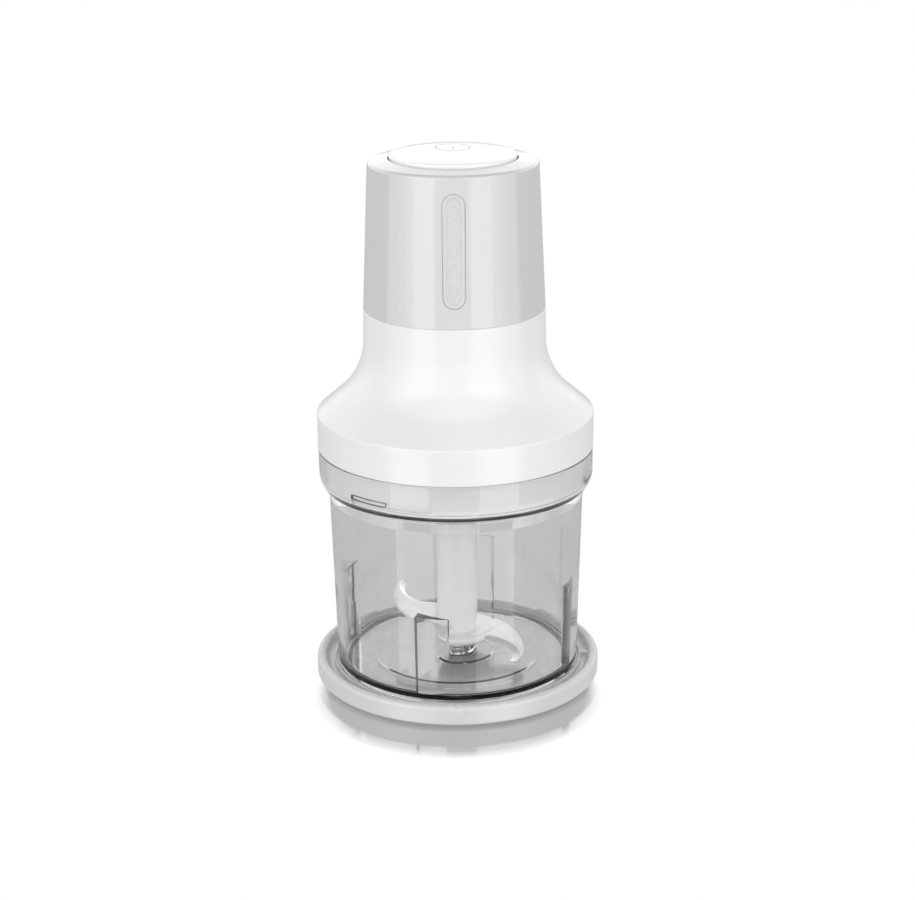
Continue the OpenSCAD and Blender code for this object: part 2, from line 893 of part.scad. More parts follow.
module head_frame() {
    color([0.32, 0.33, 0.35]) difference() {
        union() {
            disc(frame_r, frame_low_z, frame_low_z + frame_plate_t);
            disc(frame_r, frame_high_z, frame_high_z + frame_plate_t);
            for (a = corner_turns) {
                polar(a, frame_screw_r) disc(column_r, plate_top, board_z);
            }
            for (x = [-1, 1]) {
                translate([x * cell_x, 0, 0]) ring(cell_r + 0.2, cell_r + 1.4, frame_low_z, frame_low_z + 8);
            }
        }
        disc(motor_r + slide_gap, frame_low_z - 1, frame_low_z + 12);
        disc(12, frame_high_z - 1, frame_high_z + 4);
        for (x = [-1, 1]) {
            translate([x * cell_x, 0, 0]) disc(cell_r + 0.2, cell_z - 0.2, frame_low_z + 20);
            translate([x * cell_x, 0, 0]) disc(3, frame_high_z - 1, frame_high_z + 4);
        }
        for (a = corner_turns) {
            polar(a, frame_screw_r) {
                disc(screw_r + seat_gap, plate_top - 1, plate_top + 12);
                disc(1.1 + seat_gap, board_z - 8, board_z + 1);
            }
        }
    }
}

module frame_screws() {
    color(steel) for (a = corner_turns) {
        polar(a, frame_screw_r) screw(plate_top + 10, plate_z, 2.8, 1.6, -1);
    }
}

module housing_screws() {
    color(steel) for (a = corner_turns) {
        polar(a, housing_screw_r) screw(plate_top + 9, plate_z, 2.8, 1.6, -1);
    }
}

module battery_cells() {
    color([0.24, 0.42, 0.66]) for (x = [-1, 1]) {
        translate([x * cell_x, 0, cell_z]) union() {
            cylinder(r = cell_r, h = cell_len - 0.8);
            cylinder(r = 3.2, h = cell_len);
        }
    }
}

module battery_tabs() {
    low = cell_z - 0.3;
    high = cell_z + cell_len;
    color(steel) union() {
        for (x = [-1, 1]) {
            translate([x * cell_x - 2.5, -2.5, high]) cube([5, 5, 0.3]);
            translate([x * cell_x - 3, -3, low]) cube([6, 6, 0.3]);
        }
    }
}

// ---------- Motor ----------

module motor_can() {
    color(steel) difference() {
        union() {
            disc(motor_r, motor_z, motor_end_z - 4);
            disc(5, motor_z - 1.5, motor_z + 1);
        }
        disc(motor_r - motor_wall, motor_z + 1.5, motor_end_z);
        disc(3.2, motor_z - 2, motor_z + 2);
        for (x = [-1, 1]) {
            translate([x * 8, 0, 0]) disc(screw_r + seat_gap - 0.25, motor_z - 1, motor_z + 2);
        }
    }
}

module motor_magnets() {
    color(dark) for (a = [0, 180]) {
        rotate([0, 0, a]) sector(10.6, motor_r - motor_wall - seat_gap, 140, motor_z + 5, motor_end_z - 8);
    }
}

module motor_end_cap() {
    color([0.12, 0.12, 0.13]) difference() {
        union() {
            disc(motor_r - motor_wall - seat_gap, motor_end_z - 6, motor_end_z - 2);
            disc(5.2, motor_end_z - 3, motor_end_z);
            for (x = [-1, 1]) {
                translate([x * 9 - 0.4, -1.5, motor_end_z - 3]) cube([0.8, 3, 6]);
            }
        }
        disc(3.2, motor_end_z - 3.4, motor_end_z + 1);
        disc(4.4, motor_end_z - 7, motor_end_z - 3.4);
    }
}

module motor_bushes() {
    color(brass_tone) union() {
        ring(shaft_r + run_gap, 3.2 - seat_gap, motor_z - 1.5, motor_z + 1.5);
        ring(shaft_r + run_gap, 3.2 - seat_gap, motor_end_z - 3.4, motor_end_z);
    }
}

module motor_plate() {
    color(steel) difference() {
        union() {
            disc(box_r, box_top, motor_z);
            for (a = ear_turns) {
                polar(a, ear_r) disc(4, box_top, motor_z);
            }
        }
        disc(5 + seat_gap, box_top - 1, motor_z + 1);
        for (x = [-1, 1]) {
            translate([x * 8, 0, 0]) disc(screw_hole_r, box_top - 1, motor_z + 1);
        }
        for (a = ear_turns) {
            polar(a, ear_r) disc(screw_hole_r, box_top - 1, motor_z + 1);
        }
    }
}

module motor_screws() {
    color(steel) for (x = [-1, 1]) {
        translate([x * 8, 0, 0]) intersection() {
            screw(motor_z + 1.4, box_top, 2.2, 1.2, -1);
            union() {
                disc(1.25, box_top - 0.1, motor_z + 2);
                disc(3, box_top - 2, box_top);
            }
        }
    }
}

module rotor_core() {
    color([0.45, 0.46, 0.48]) difference() {
        disc(9.8, motor_z + 7, motor_end_z - 10);
        disc(shaft_r + seat_gap, motor_z, motor_end_z);
        for (i = [0:4]) {
            rotate([0, 0, 72 * i]) union() {
                translate([6, -2.2, motor_z]) cube([2.2, 4.4, motor_len]);
                translate([8, -0.6, motor_z]) cube([3, 1.2, motor_len]);
            }
        }
    }
}

module rotor_windings() {
    color(copper_tone) union() {
        for (i = [0:4]) {
            rotate([0, 0, 72 * i]) translate([6.05, -2.1, motor_z + 5.4]) cube([2.1, 4.2, motor_len - 13.8]);
        }
        ring(3.6, 8.1, motor_z + 5, motor_z + 7);
        ring(3.6, 8.1, motor_end_z - 10, motor_end_z - 8.2);
    }
}

module commutator() {
    color(copper_tone) difference() {
        ring(shaft_r + seat_gap, 3.4, motor_end_z - 10, motor_end_z - 4);
        for (i = [0:4]) {
            rotate([0, 0, 72 * i]) translate([3, -0.2, motor_end_z - 8]) cube([1, 0.4, 6]);
        }
    }
}

module motor_shaft() {
    color(steel) disc(shaft_r, carrier_z + carrier_t + 0.6, motor_end_z - 0.4);
}

module sun_gear() {
    color(brass_tone) difference() {
        translate([0, 0, gear_z]) linear_extrude(gear_h + 0.8) gear_outline(sun_teeth);
        disc(shaft_r + seat_gap, gear_z - 1, gear_z + gear_h + 2);
    }
}

// ---------- Gearbox ----------

module gearbox_housing() {
    color([0.90, 0.90, 0.88]) difference() {
        union() {
            disc(box_r, plate_top, box_top);
            disc(nose_bore_r - seat_gap, plate_z, plate_top + 1);
            for (a = ear_turns) {
                polar(a, ear_r) disc(4, plate_top, box_top);
            }
        }
        disc(19.6, plate_top + 3, box_top + 1);
        disc(ring_gear_r + seat_gap, gear_z - 0.2, box_top + 1);
        disc(7 + seat_gap, plate_z + 1.4, plate_top + 4);
        disc(7.5 + seat_gap, plate_z - 1, plate_z + 1.4);
        for (a = ear_turns) {
            polar(a, ear_r) disc(screw_hole_r, plate_top - 1, box_top + 1);
        }
    }
}

module ring_gear() {
    color([0.85, 0.85, 0.82]) difference() {
        disc(ring_gear_r, gear_z - 0.2, gear_z + gear_h + 0.2);
        translate([0, 0, gear_z - 1]) linear_extrude(gear_h + 2) ring_outline(ring_teeth);
    }
}

module gearbox_screws() {
    color(steel) for (a = ear_turns) {
        polar(a, ear_r) screw(plate_z + 0.8, motor_z, 2.8, 1.8, 1);
    }
}

module planet_gear(i) {
    // each planet has a gap facing the sun gear
    half_tooth = 180 / planet_teeth;
    color([0.88, 0.86, 0.78]) rotate([0, 0, planet_turns[i]]) translate([planet_r, 0, 0]) difference() {
        translate([0, 0, gear_z]) rotate([0, 0, half_tooth])
            linear_extrude(gear_h) gear_outline(planet_teeth);
        disc(1.5 + run_gap, gear_z - 1, gear_z + gear_h + 1);
    }
}

module planet_pins() {
    color(steel) for (a = planet_turns) {
        polar(a, planet_r) disc(1.5, carrier_z, gear_z + gear_h + 0.2);
    }
}

module planet_carrier() {
    color([0.60, 0.61, 0.62]) difference() {
        disc(16.5, carrier_z, carrier_z + carrier_t);
        disc(output_r + seat_gap, carrier_z - 1, carrier_z + carrier_t + 1);
        for (a = planet_turns) {
            polar(a, planet_r) disc(1.5 + seat_gap, carrier_z - 1, carrier_z + carrier_t + 1);
        }
    }
}

module output_shaft() {
    color(steel) disc(output_r, hub_top_z + dog_h + 1.2, carrier_z + carrier_t);
}

module output_bush() {
    color(brass_tone) ring(output_r + run_gap, 7, plate_z + 1.4, plate_top + 3);
}

module shaft_seal() {
    color(dark) ring(output_r + run_gap, 7.5, plate_z, plate_z + 1.4);
}

module drive_coupling() {
    disc_z = hub_top_z + dog_h + 0.6;
    color(light_grey) difference() {
        union() {
            disc(8.2, disc_z, disc_z + 2.6);
            disc(6, disc_z, plate_z - 0.5);
            for (i = [0:dog_count - 1]) {
                rotate([0, 0, 360 / dog_count * (i + 0.5)])
                    sector(dog_in_r, dog_r, dog_span, hub_top_z + 0.6, disc_z + 1);
            }
        }
        disc(output_r + seat_gap, disc_z + 0.6, plate_z + 1);
    }
}

// ---------- Interlock ----------

module interlock_rod() {
    color(steel) translate([0, rod_y, 0]) union() {
        disc(rod_r, rod_low, rod_top);
        disc(2.6, rod_collar_z, rod_collar_z + 1);
    }
}

module interlock_spring() {
    color(steel) translate([0, rod_y, 0]) coil_spring(2.3, 0.3, rod_collar_z + 1, bridge_z, 7);
}

module interlock_switch() {
    color(dark) union() {
        translate([-6.6, rod_y - 2.9, bridge_z + 0.9]) cube([13.2, 5.8, 6.5]);
        translate([0, rod_y, 0]) disc(1.2, bridge_z + 0.8, bridge_z + 2);
    }
}

base_tray();
base_grip_ring();
bowl();
spindle_pin();
blade_hub();
hub_bushes();
lower_blade();
upper_blade();
splash_lid();
lid_gasket();
head_base();
bell_housing();
upper_casing();
badge_insert();
press_button();
button_icon();
button_spring();
power_switch();
switch_plunger();
control_board();
board_components();
board_screws();
charge_socket();
port_cover();
charge_light();
head_frame();
frame_screws();
housing_screws();
battery_cells();
battery_tabs();
motor_can();
motor_magnets();
motor_end_cap();
motor_bushes();
motor_plate();
motor_screws();
rotor_core();
rotor_windings();
commutator();
motor_shaft();
sun_gear();
gearbox_housing();
ring_gear();
gearbox_screws();
planet_gear(0);  // planet_gear_1
planet_gear(1);  // planet_gear_2
planet_gear(2);  // planet_gear_3
planet_pins();
planet_carrier();
output_shaft();
output_bush();
shaft_seal();
drive_coupling();
interlock_rod();
interlock_spring();
interlock_switch();
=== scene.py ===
"""Small food processor with a motor head, a smoky bowl and a base tray.

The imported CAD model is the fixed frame. The outer pieces are built here as finer meshes, the inner
ones keep their CAD meshes, and every piece gets a procedural material. Lengths of pieces are in
millimetres until they become vertices, and those of the studio are in metres.
"""

import math

import bmesh
import bpy
from mathutils import Matrix, Vector


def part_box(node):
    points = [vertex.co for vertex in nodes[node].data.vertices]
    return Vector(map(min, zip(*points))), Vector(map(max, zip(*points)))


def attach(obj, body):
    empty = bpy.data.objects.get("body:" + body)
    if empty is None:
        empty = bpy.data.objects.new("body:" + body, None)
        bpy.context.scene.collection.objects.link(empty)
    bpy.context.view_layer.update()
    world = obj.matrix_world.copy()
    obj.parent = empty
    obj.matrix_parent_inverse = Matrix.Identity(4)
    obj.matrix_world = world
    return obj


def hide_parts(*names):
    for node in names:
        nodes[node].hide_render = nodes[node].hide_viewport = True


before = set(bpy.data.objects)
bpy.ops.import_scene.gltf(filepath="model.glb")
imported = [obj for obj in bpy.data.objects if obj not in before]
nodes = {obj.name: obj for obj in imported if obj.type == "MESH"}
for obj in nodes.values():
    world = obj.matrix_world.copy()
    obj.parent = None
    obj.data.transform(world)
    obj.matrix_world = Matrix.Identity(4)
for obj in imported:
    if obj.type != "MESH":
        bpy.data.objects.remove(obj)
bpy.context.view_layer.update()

scene = bpy.context.scene
cad_slots = {name: node.active_material.name for name, node in nodes.items()}
for material in bpy.data.materials:
    material.name = "cad_" + material.name
MM = 0.001
COLUMNS = 240  # columns of quads round a lathed piece


# ---------- Dimensions, in mm ----------

def low(node):
    """Lowest corner of a CAD node, in mm."""
    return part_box(node)[0] / MM


def high(node):
    """Highest corner of a CAD node, in mm."""
    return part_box(node)[1] / MM


tray_r = high("base_tray").x
tray_top_z = high("base_tray").z
tray_low_z = low("base_tray").z
grip_r = high("base_grip_ring").x
grip_top_z = high("base_grip_ring").z
bowl_low_z = low("bowl").z
collar_r = high("bowl").x
collar_z = high("bowl").z
pin_base_z = low("spindle_pin").z
pin_top_z = high("spindle_pin").z
hub_low_z = low("blade_hub").z
dog_top_z = high("blade_hub").z
lid_low_z = low("splash_lid").z
shelf_z = low("lid_gasket").z
lock_ring_z = low("head_base").z
skirt_r = high("bell_housing").x
skirt_z = low("bell_housing").z
seam_z = high("bell_housing").z
casing_low_z = low("upper_casing").z
casing_high_z = high("upper_casing").z
neck_r = high("upper_casing").x
button_low_z = low("press_button").z
button_high_z = high("press_button").z

shell_t = 2.2           # wall of the head's housings
casing_top_r = 36.1     # casing just under its top corner
casing_corner_z = 229.4
casing_corner_r = 1.6
bell_neck_r = neck_r + 0.2
flare_r = 33.0
flare_turn = 48.0       # degrees of arc in the flare
flare_top_z = 155.0
screw_turns = (45, 135, 225, 315)  # angle of each screw in the head's floor
screw_ring_r = 48
rod_y = 45.0            # interlock rod, and the ramp under it

bowl_foot_r = 53.2
bowl_top_r = 55.3
bowl_wall_top_z = 84.6
bowl_wall = 2.8
bowl_floor_z = 9.0
collar_in_r = 56.8
collar_round = 9.0
collar_mid_z = 95.8
rib_turns = (-110, -20, 70, 160)   # azimuth of each rib's steep edge
rib_span = 16.0
rib_depth = 3.2
rib_top_z = 46.8
lug_turns = (-160, -40, 80)        # azimuth of each bayonet lug
lug_span = 18.0
lug_in_r = 55.2
lug_z = (94.6, 96.0)
lock_turn = 20.0

lid_wall_r = 53.2
lid_flange_r = high("splash_lid").x
lid_tube_r = 9.8
lid_top_z = lid_low_z + 2.0

button_r = 26.9
button_side_z = 233.4
opening_r = button_r + 0.5
icon_r = 7.25
icon_w = 0.7

badge_half_w = 4.7
badge_mid_z = 199.7
badge_half_h = 23.6
port_mid_z = 206.25
port_half_w = 7.5
port_half_h = 5.0
light_z = 214.85


def casing_r(z):
    """Outer radius of the casing's cone."""
    return neck_r + (casing_top_r - neck_r) * (z - seam_z) / (casing_corner_z - seam_z)


def wall_r(z):
    """Outer radius of the bowl's wall."""
    return bowl_foot_r + (bowl_top_r - bowl_foot_r) * (z - 8) / 76


# ---------- Outlines ----------

def arc(centre, radius, start, end, steps=8):
    """Points of an arc, in degrees."""
    turns = [math.radians(start + (end - start) * i / steps) for i in range(steps + 1)]
    return [(centre[0] + radius * math.cos(a), centre[1] + radius * math.sin(a)) for a in turns]


def rounded(corners, steps=5):
    """Closed outline whose corners (x, y, radius) are rounded by arcs; a corner (x, y) stays sharp."""
    outline = []
    for i, corner in enumerate(corners):
        if len(corner) == 2:
            outline.append(tuple(corner))
            continue
        here, radius = Vector(corner[:2]), corner[2]
        before = (Vector(corners[i - 1][:2]) - here).normalized()
        after = (Vector(corners[(i + 1) % len(corners)][:2]) - here).normalized()
        half = before.angle(after) / 2
        centre = here + (before + after).normalized() * radius / math.sin(half)
        reach = radius / math.tan(half)
        first, last = here + before * reach - centre, here + after * reach - centre
        start = math.degrees(math.atan2(first.y, first.x))
        turn = math.degrees(math.atan2(last.y, last.x)) - start
        turn = (turn + 180) % 360 - 180
        outline += arc(centre, radius, start, start + turn, steps)
    return outline


def azimuth(turn):
    """Angle of an azimuth measured from the front (-Y) towards +X, in degrees."""
    return turn - 90


def sector(r_in, r_out, mid, span, steps=12):
    """Outline of a sector of a ring about the angle mid."""
    outer = arc((0, 0), r_out, mid - span / 2, mid + span / 2, steps)
    inner = arc((0, 0), r_in, mid + span / 2, mid - span / 2, steps)
    return outer + inner


def circle(r, centre=(0, 0), steps=72):
    return arc(centre, r, 0, 360, steps)[:-1]


def polar(r, angle):
    """Point at a radius and an angle in degrees."""
    return r * math.cos(math.radians(angle)), r * math.sin(math.radians(angle))


def rectangle(x0, x1, y0, y1):
    return [(x0, y0), (x1, y0), (x1, y1), (x0, y1)]


# ---------- Meshes ----------

def in_scene(name, data):
    """A new object in the scene."""
    made = bpy.data.objects.new(name, data)
    scene.collection.objects.link(made)
    return made


def as_piece(name, bm):
    """An object from a bmesh in mm, with its faces turned outwards."""
    bmesh.ops.recalc_face_normals(bm, faces=bm.faces)
    bmesh.ops.scale(bm, vec=(MM, MM, MM), verts=bm.verts)
    mesh = bpy.data.meshes.new(name)
    bm.to_mesh(mesh)
    bm.free()
    return in_scene(name, mesh)


def held(outlines):
    """The same outlines with a point near each end of a long side, which keeps its shading flat."""
    length, margin = 2.5, 0.3
    first = outlines[0]
    made = [[] for _ in outlines]
    for k, point in enumerate(first):
        following = (k + 1) % len(first)
        side = math.dist(point, first[following])
        shares = (0, margin / side, 1 - margin / side) if side > length else (0,)
        for outline, added in zip(outlines, made):
            (r0, z0), (r1, z1) = outline[k], outline[following]
            added += [(r0 + (r1 - r0) * t, z0 + (z1 - z0) * t) for t in shares]
    return made


def lathe(name, section, angles=None):
    """Solid of revolution about Z. section is the closed outline [(r, z)], or gives it for an angle."""
    angles = angles or [360 * j / COLUMNS for j in range(COLUMNS)]
    count = len(angles)
    outlines = held([section(a) if callable(section) else section for a in angles])
    bm = bmesh.new()
    rows = []
    for k, (r, z) in enumerate(outlines[0]):
        if abs(r) < 1e-6:
            rows.append([bm.verts.new((0, 0, z))] * count)
            continue
        row = []
        for angle, outline in zip(angles, outlines):
            r, z = outline[k]
            row.append(bm.verts.new((*polar(r, angle), z)))
        rows.append(row)
    for k, row in enumerate(rows):
        above = rows[(k + 1) % len(rows)]
        for j in range(count):
            corners = [row[j], row[(j + 1) % count], above[(j + 1) % count], above[j]]
            corners = list(dict.fromkeys(corners))
            if len(corners) > 2:
                bm.faces.new(corners)
    return as_piece(name, bm)


def loft(name, rings):
    """Solid through closed rings of equal count, its first and last ring filled."""
    bm = bmesh.new()
    made = [[bm.verts.new(p) for p in ring] for ring in rings]
    count = len(rings[0])
    for ring, following in zip(made, made[1:]):
        for j in range(count):
            bm.faces.new([ring[j], ring[(j + 1) % count], following[(j + 1) % count], following[j]])
    bm.faces.new(made[0])
    bm.faces.new(made[-1])
    return as_piece(name, bm)


def prism(name, outline, z0, z1):
    """Upright prism over an outline."""
    return loft(name, [[(x, y, z) for x, y in outline] for z in (z0, z1)])


def applied(piece):
    """The piece with its modifiers made part of its mesh."""
    made = bpy.data.meshes.new_from_object(
        piece.evaluated_get(bpy.context.evaluated_depsgraph_get())
    )
    made.name = piece.name
    piece.modifiers.clear()
    piece.data = made
    return piece


def combine(piece, operation, *tools):
    """Joins (UNION), cuts (DIFFERENCE) or keeps (INTERSECT) a piece with other solids, which go."""
    for tool in tools:
        modifier = piece.modifiers.new("combine", "BOOLEAN")
        modifier.operation = operation
        modifier.solver = "EXACT"
        modifier.object = tool
        applied(piece)
        bpy.data.objects.remove(tool)
    return piece


def smooth(piece, angle=30):
    """Smooth shading that stays sharp over edges above the angle."""
    piece.data.shade_smooth()
    piece.data.set_sharp_from_angle(angle=math.radians(angle))
    return piece


def bevel(piece, width):
    """Rounds a piece's sharp edges."""
    modifier = piece.modifiers.new("bevel", "BEVEL")
    modifier.width = width * MM
    modifier.segments = 2
    modifier.limit_method = "ANGLE"
    modifier.angle_limit = math.radians(40)
    return applied(piece)


def panel_ring(face, mid_z, half_w, half_h, corner, depth):
    """Ring of a rounded panel on the casing's front (face -1) or back (face 1), at a depth below it."""
    corner = min(corner, half_w, half_h)
    points = []
    for sx, sz, start in ((1, 1, 0), (-1, 1, 90), (-1, -1, 180), (1, -1, 270)):
        centre = (sx * (half_w - corner), sz * (half_h - corner))
        quarter = arc(centre, corner, start, start + 90, 10)
        if sx * sz < 0:   # a long side follows
            x, z = quarter[-1]
            far = -(half_h - corner) * sz
            quarter += [(x, z + (far - z) * i / 12) for i in range(1, 12)]
        points += quarter
    ring = []
    for x, z in points:
        r = casing_r(mid_z + z) - depth
        ring.append((x, face * math.sqrt(r * r - x * x), mid_z + z))
    return ring


def panel(name, face, mid_z, half_w, half_h, corner, section):
    """Solid panel that follows the casing: section lists (inset from its outline, depth)."""
    least = min(half_w, half_h)
    rings = []
    for inset, depth in section:
        inset = min(inset, least - 0.15)
        rings.append(panel_ring(
            face, mid_z, half_w - inset, half_h - inset, max(corner - inset, 0.1), depth
        ))
    return loft(name, rings)


# ---------- Materials ----------

class Nodes:
    """A material's node tree, with short calls for the nodes that the materials share."""

    def __init__(self, name):
        self.material = bpy.data.materials.new(name)
        self.material.use_nodes = True
        self.tree = self.material.node_tree
        self.shader = self.tree.nodes["Principled BSDF"]
        self.output = self.tree.nodes["Material Output"]
        self.place = self.tree.nodes.new("ShaderNodeTexCoord").outputs["Object"]

    def link(self, source, target):
        self.tree.links.new(source, target)

    def add(self, kind, **settings):
        made = self.tree.nodes.new(kind)
        for key, value in settings.items():
            setattr(made, key, value)
        return made

    def stretched(self, scale):
        """Object coordinates multiplied by a scale along each axis."""
        mapping = self.add("ShaderNodeMapping")
        mapping.inputs["Scale"].default_value = scale
        self.link(self.place, mapping.inputs["Vector"])
        return mapping.outputs["Vector"]

    def noise(self, scale, detail=3.0, where=None, roughness=0.5):
        """Noise from 0 to 1, with scale features to a metre."""
        made = self.add("ShaderNodeTexNoise")
        made.inputs["Scale"].default_value = scale
        made.inputs["Detail"].default_value = detail
        made.inputs["Roughness"].default_value = roughness
        self.link(where or self.place, made.inputs["Vector"])
        return made.outputs["Fac"]

    def texture(self, kind, scale, **settings):
        """Any other texture over the object's coordinates."""
        made = self.add("ShaderNodeTex" + kind, **settings)
        made.inputs["Scale"].default_value = scale
        self.link(self.place, made.inputs["Vector"])
        return made

    def ranged(self, value, start, end, to_start, to_end):
        """value's range start..end moved to another range, and held there."""
        made = self.add("ShaderNodeMapRange")
        for key, number in zip((1, 2, 3, 4), (start, end, to_start, to_end)):
            made.inputs[key].default_value = number
        self.link(value, made.inputs[0])
        return made.outputs[0]

    def math(self, operation, first, second):
        made = self.add("ShaderNodeMath", operation=operation)
        for socket, value in zip(made.inputs, (first, second)):
            if isinstance(value, (int, float)):
                socket.default_value = value
            else:
                self.link(value, socket)
        return made.outputs[0]

    def mixed(self, factor, first, second):
        """A colour between two, each a colour or a socket."""
        made = self.add("ShaderNodeMix", data_type="RGBA")
        self.link(factor, made.inputs["Factor"])
        for socket, value in zip((made.inputs[6], made.inputs[7]), (first, second)):
            if isinstance(value, tuple):
                socket.default_value = (*value, 1)
            else:
                self.link(value, socket)
        return made.outputs[2]

    def worn_edges(self):
        """1 on convex edges, 0 elsewhere, broken up by noise."""
        curved = self.add("ShaderNodeNewGeometry").outputs["Pointiness"]
        return self.math("MULTIPLY", self.ranged(curved, 0.52, 0.60, 0, 1),
                         self.ranged(self.noise(260), 0.35, 0.6, 0, 1))

    def bump(self, height, depth, normal=None):
        """Normal for a height map of 0 to 1 over a depth in mm."""
        made = self.add("ShaderNodeBump")
        made.inputs["Distance"].default_value = depth * MM
        made.inputs["Strength"].default_value = 1.0
        self.link(height, made.inputs["Height"])
        if normal:
            self.link(normal, made.inputs["Normal"])
        return made.outputs["Normal"]

    def finish(self, colour, rough, normal, **sockets):
        """Links the varying sockets and sets the plain ones by name."""
        self.link(colour, self.shader.inputs["Base Color"])
        self.link(rough, self.shader.inputs["Roughness"])
        self.link(normal, self.shader.inputs["Normal"])
        for key, value in sockets.items():
            self.shader.inputs[key.replace("_", " ")].default_value = value
        return self.material


def shade(colour, factor):
    return tuple(min(1.0, c * factor) for c in colour)


def plastic(name, colour, rough=0.2, grain=0.0008, coat=0.0, vary=0.03, **sockets):
    """Moulded plastic: faint flow marks in its colour, a fine skin and polished edges."""
    n = Nodes(name)
    flow = n.noise(22, 4, n.stretched((1, 1, 0.35)))
    speck = n.ranged(n.noise(1900, 2), 0.62, 0.75, 0, 0.35)
    base = n.mixed(n.ranged(flow, 0.3, 0.7, 0, 1), shade(colour, 1 - vary), shade(colour, 1 + vary))
    base = n.mixed(speck, base, shade(colour, 1 - 2.5 * vary))
    base = n.mixed(n.math("MULTIPLY", n.worn_edges(), 0.25), base, shade(colour, 1 + 2 * vary))
    handled = n.noise(60, 5, roughness=0.65)
    gloss = n.ranged(handled, 0.3, 0.75, rough * 0.85, rough * 1.25)
    skin = n.bump(n.noise(2600, 2), grain)
    normal = n.bump(n.noise(95, 1), grain * 3, skin)
    return n.finish(base, gloss, normal, Coat_Weight=coat, **sockets)


def rubber(name, colour, rough=0.6):
    """Soft rubber: a matt pebbled skin with paler dusty patches."""
    n = Nodes(name)
    dust = n.ranged(n.noise(140, 5), 0.45, 0.7, 0, 0.5)
    base = n.mixed(dust, colour, shade(colour, 1.35))
    base = n.mixed(n.math("MULTIPLY", n.worn_edges(), 0.5), base, shade(colour, 1.6))
    gloss = n.ranged(n.noise(420, 3), 0.3, 0.7, rough * 0.85, min(1, rough * 1.2))
    pebble = n.texture("Voronoi", 2400)
    normal = n.bump(pebble.outputs["Distance"], 0.02)
    return n.finish(base, gloss, normal, Sheen_Weight=0.15)


def metal(name, colour, rough=0.28, stretch=(1, 1, 1), lines=1500, depth=0.004, tarnish=0.12,
          **sockets):
    """Bare or plated metal: fine tool lines along the stretch, tarnish and bright edges."""
    n = Nodes(name)
    grain = n.noise(lines, 4, n.stretched(stretch), 0.7)
    blotch = n.ranged(n.noise(75, 5), 0.4, 0.75, 0, 1)
    base = n.mixed(n.ranged(grain, 0.3, 0.7, 0, 1), shade(colour, 0.93), shade(colour, 1.05))
    base = n.mixed(n.math("MULTIPLY", blotch, tarnish), base, shade(colour, 0.55))
    base = n.mixed(n.math("MULTIPLY", n.worn_edges(), 0.6), base, shade(colour, 1.25))
    gloss = n.math("ADD", n.ranged(grain, 0.3, 0.7, rough * 0.8, rough * 1.2),
                   n.math("MULTIPLY", blotch, 0.08))
    return n.finish(base, gloss, n.bump(grain, depth), Metallic=1.0, **sockets)


def sheets(name, colour):
    """Stacked punched sheets: dark gaps between layers along Z, with a varnish on the edges."""
    n = Nodes(name)
    stripe = n.texture("Wave", 330, bands_direction="Z")
    stripe.inputs["Distortion"].default_value = 0.3
    gap = n.ranged(stripe.outputs["Fac"], 0.0, 0.3, 1, 0)
    base = n.mixed(n.noise(180, 4), shade(colour, 0.85), shade(colour, 1.1))
    base = n.mixed(n.math("MULTIPLY", gap, 0.7), base, shade(colour, 0.25))
    gloss = n.ranged(n.noise(500, 4), 0.3, 0.7, 0.35, 0.6)
    return n.finish(base, gloss, n.bump(stripe.outputs["Fac"], 0.03), Metallic=0.85)


def windings(name, colour):
    """Enamelled wire wound side by side, under varnish."""
    n = Nodes(name)
    wire = n.texture("Wave", 420, bands_direction="DIAGONAL", wave_profile="SIN")
    wire.inputs["Distortion"].default_value = 1.2
    base = n.mixed(wire.outputs["Fac"], shade(colour, 0.35), colour)
    base = n.mixed(n.ranged(n.noise(160, 4), 0.5, 0.7, 0, 0.5), base, (0.10, 0.02, 0.008))
    gloss = n.ranged(n.noise(300, 3), 0.3, 0.7, 0.18, 0.4)
    return n.finish(base, gloss, n.bump(wire.outputs["Fac"], 0.08), Metallic=0.7, Coat_Weight=0.5)


def sintered(name, colour):
    """Pressed bronze powder: open pores and oil-darkened patches."""
    n = Nodes(name)
    pores = n.texture("Voronoi", 3200)
    open_pore = n.ranged(pores.outputs["Distance"], 0.0, 0.28, 1, 0)
    base = n.mixed(n.noise(220, 4), shade(colour, 0.75), shade(colour, 1.1))
    base = n.mixed(n.math("MULTIPLY", open_pore, 0.8), base, shade(colour, 0.2))
    gloss = n.ranged(n.noise(600, 4), 0.3, 0.7, 0.32, 0.55)
    return n.finish(base, gloss, n.bump(pores.outputs["Distance"], 0.02), Metallic=0.9)


def circuit(name):
    """Board with a solder mask: copper tracks under green lacquer, and a glass weave."""
    n = Nodes(name)
    tracks = n.texture("Brick", 170, offset=0.37, squash=1.0)
    tracks.inputs["Mortar Size"].default_value = 0.035
    tracks.inputs["Brick Width"].default_value = 0.9
    line = tracks.outputs["Fac"]
    base = n.mixed(n.noise(120, 3), (0.008, 0.075, 0.035), (0.014, 0.11, 0.05))
    base = n.mixed(line, base, (0.05, 0.22, 0.07))
    pad = n.ranged(n.texture("Voronoi", 260).outputs["Distance"], 0.10, 0.13, 1, 0)
    base = n.mixed(n.math("MULTIPLY", pad, 0.8), base, (0.62, 0.58, 0.45))
    gloss = n.ranged(n.noise(800, 3), 0.3, 0.7, 0.22, 0.38)
    return n.finish(base, gloss, n.bump(line, 0.035), Coat_Weight=0.3)


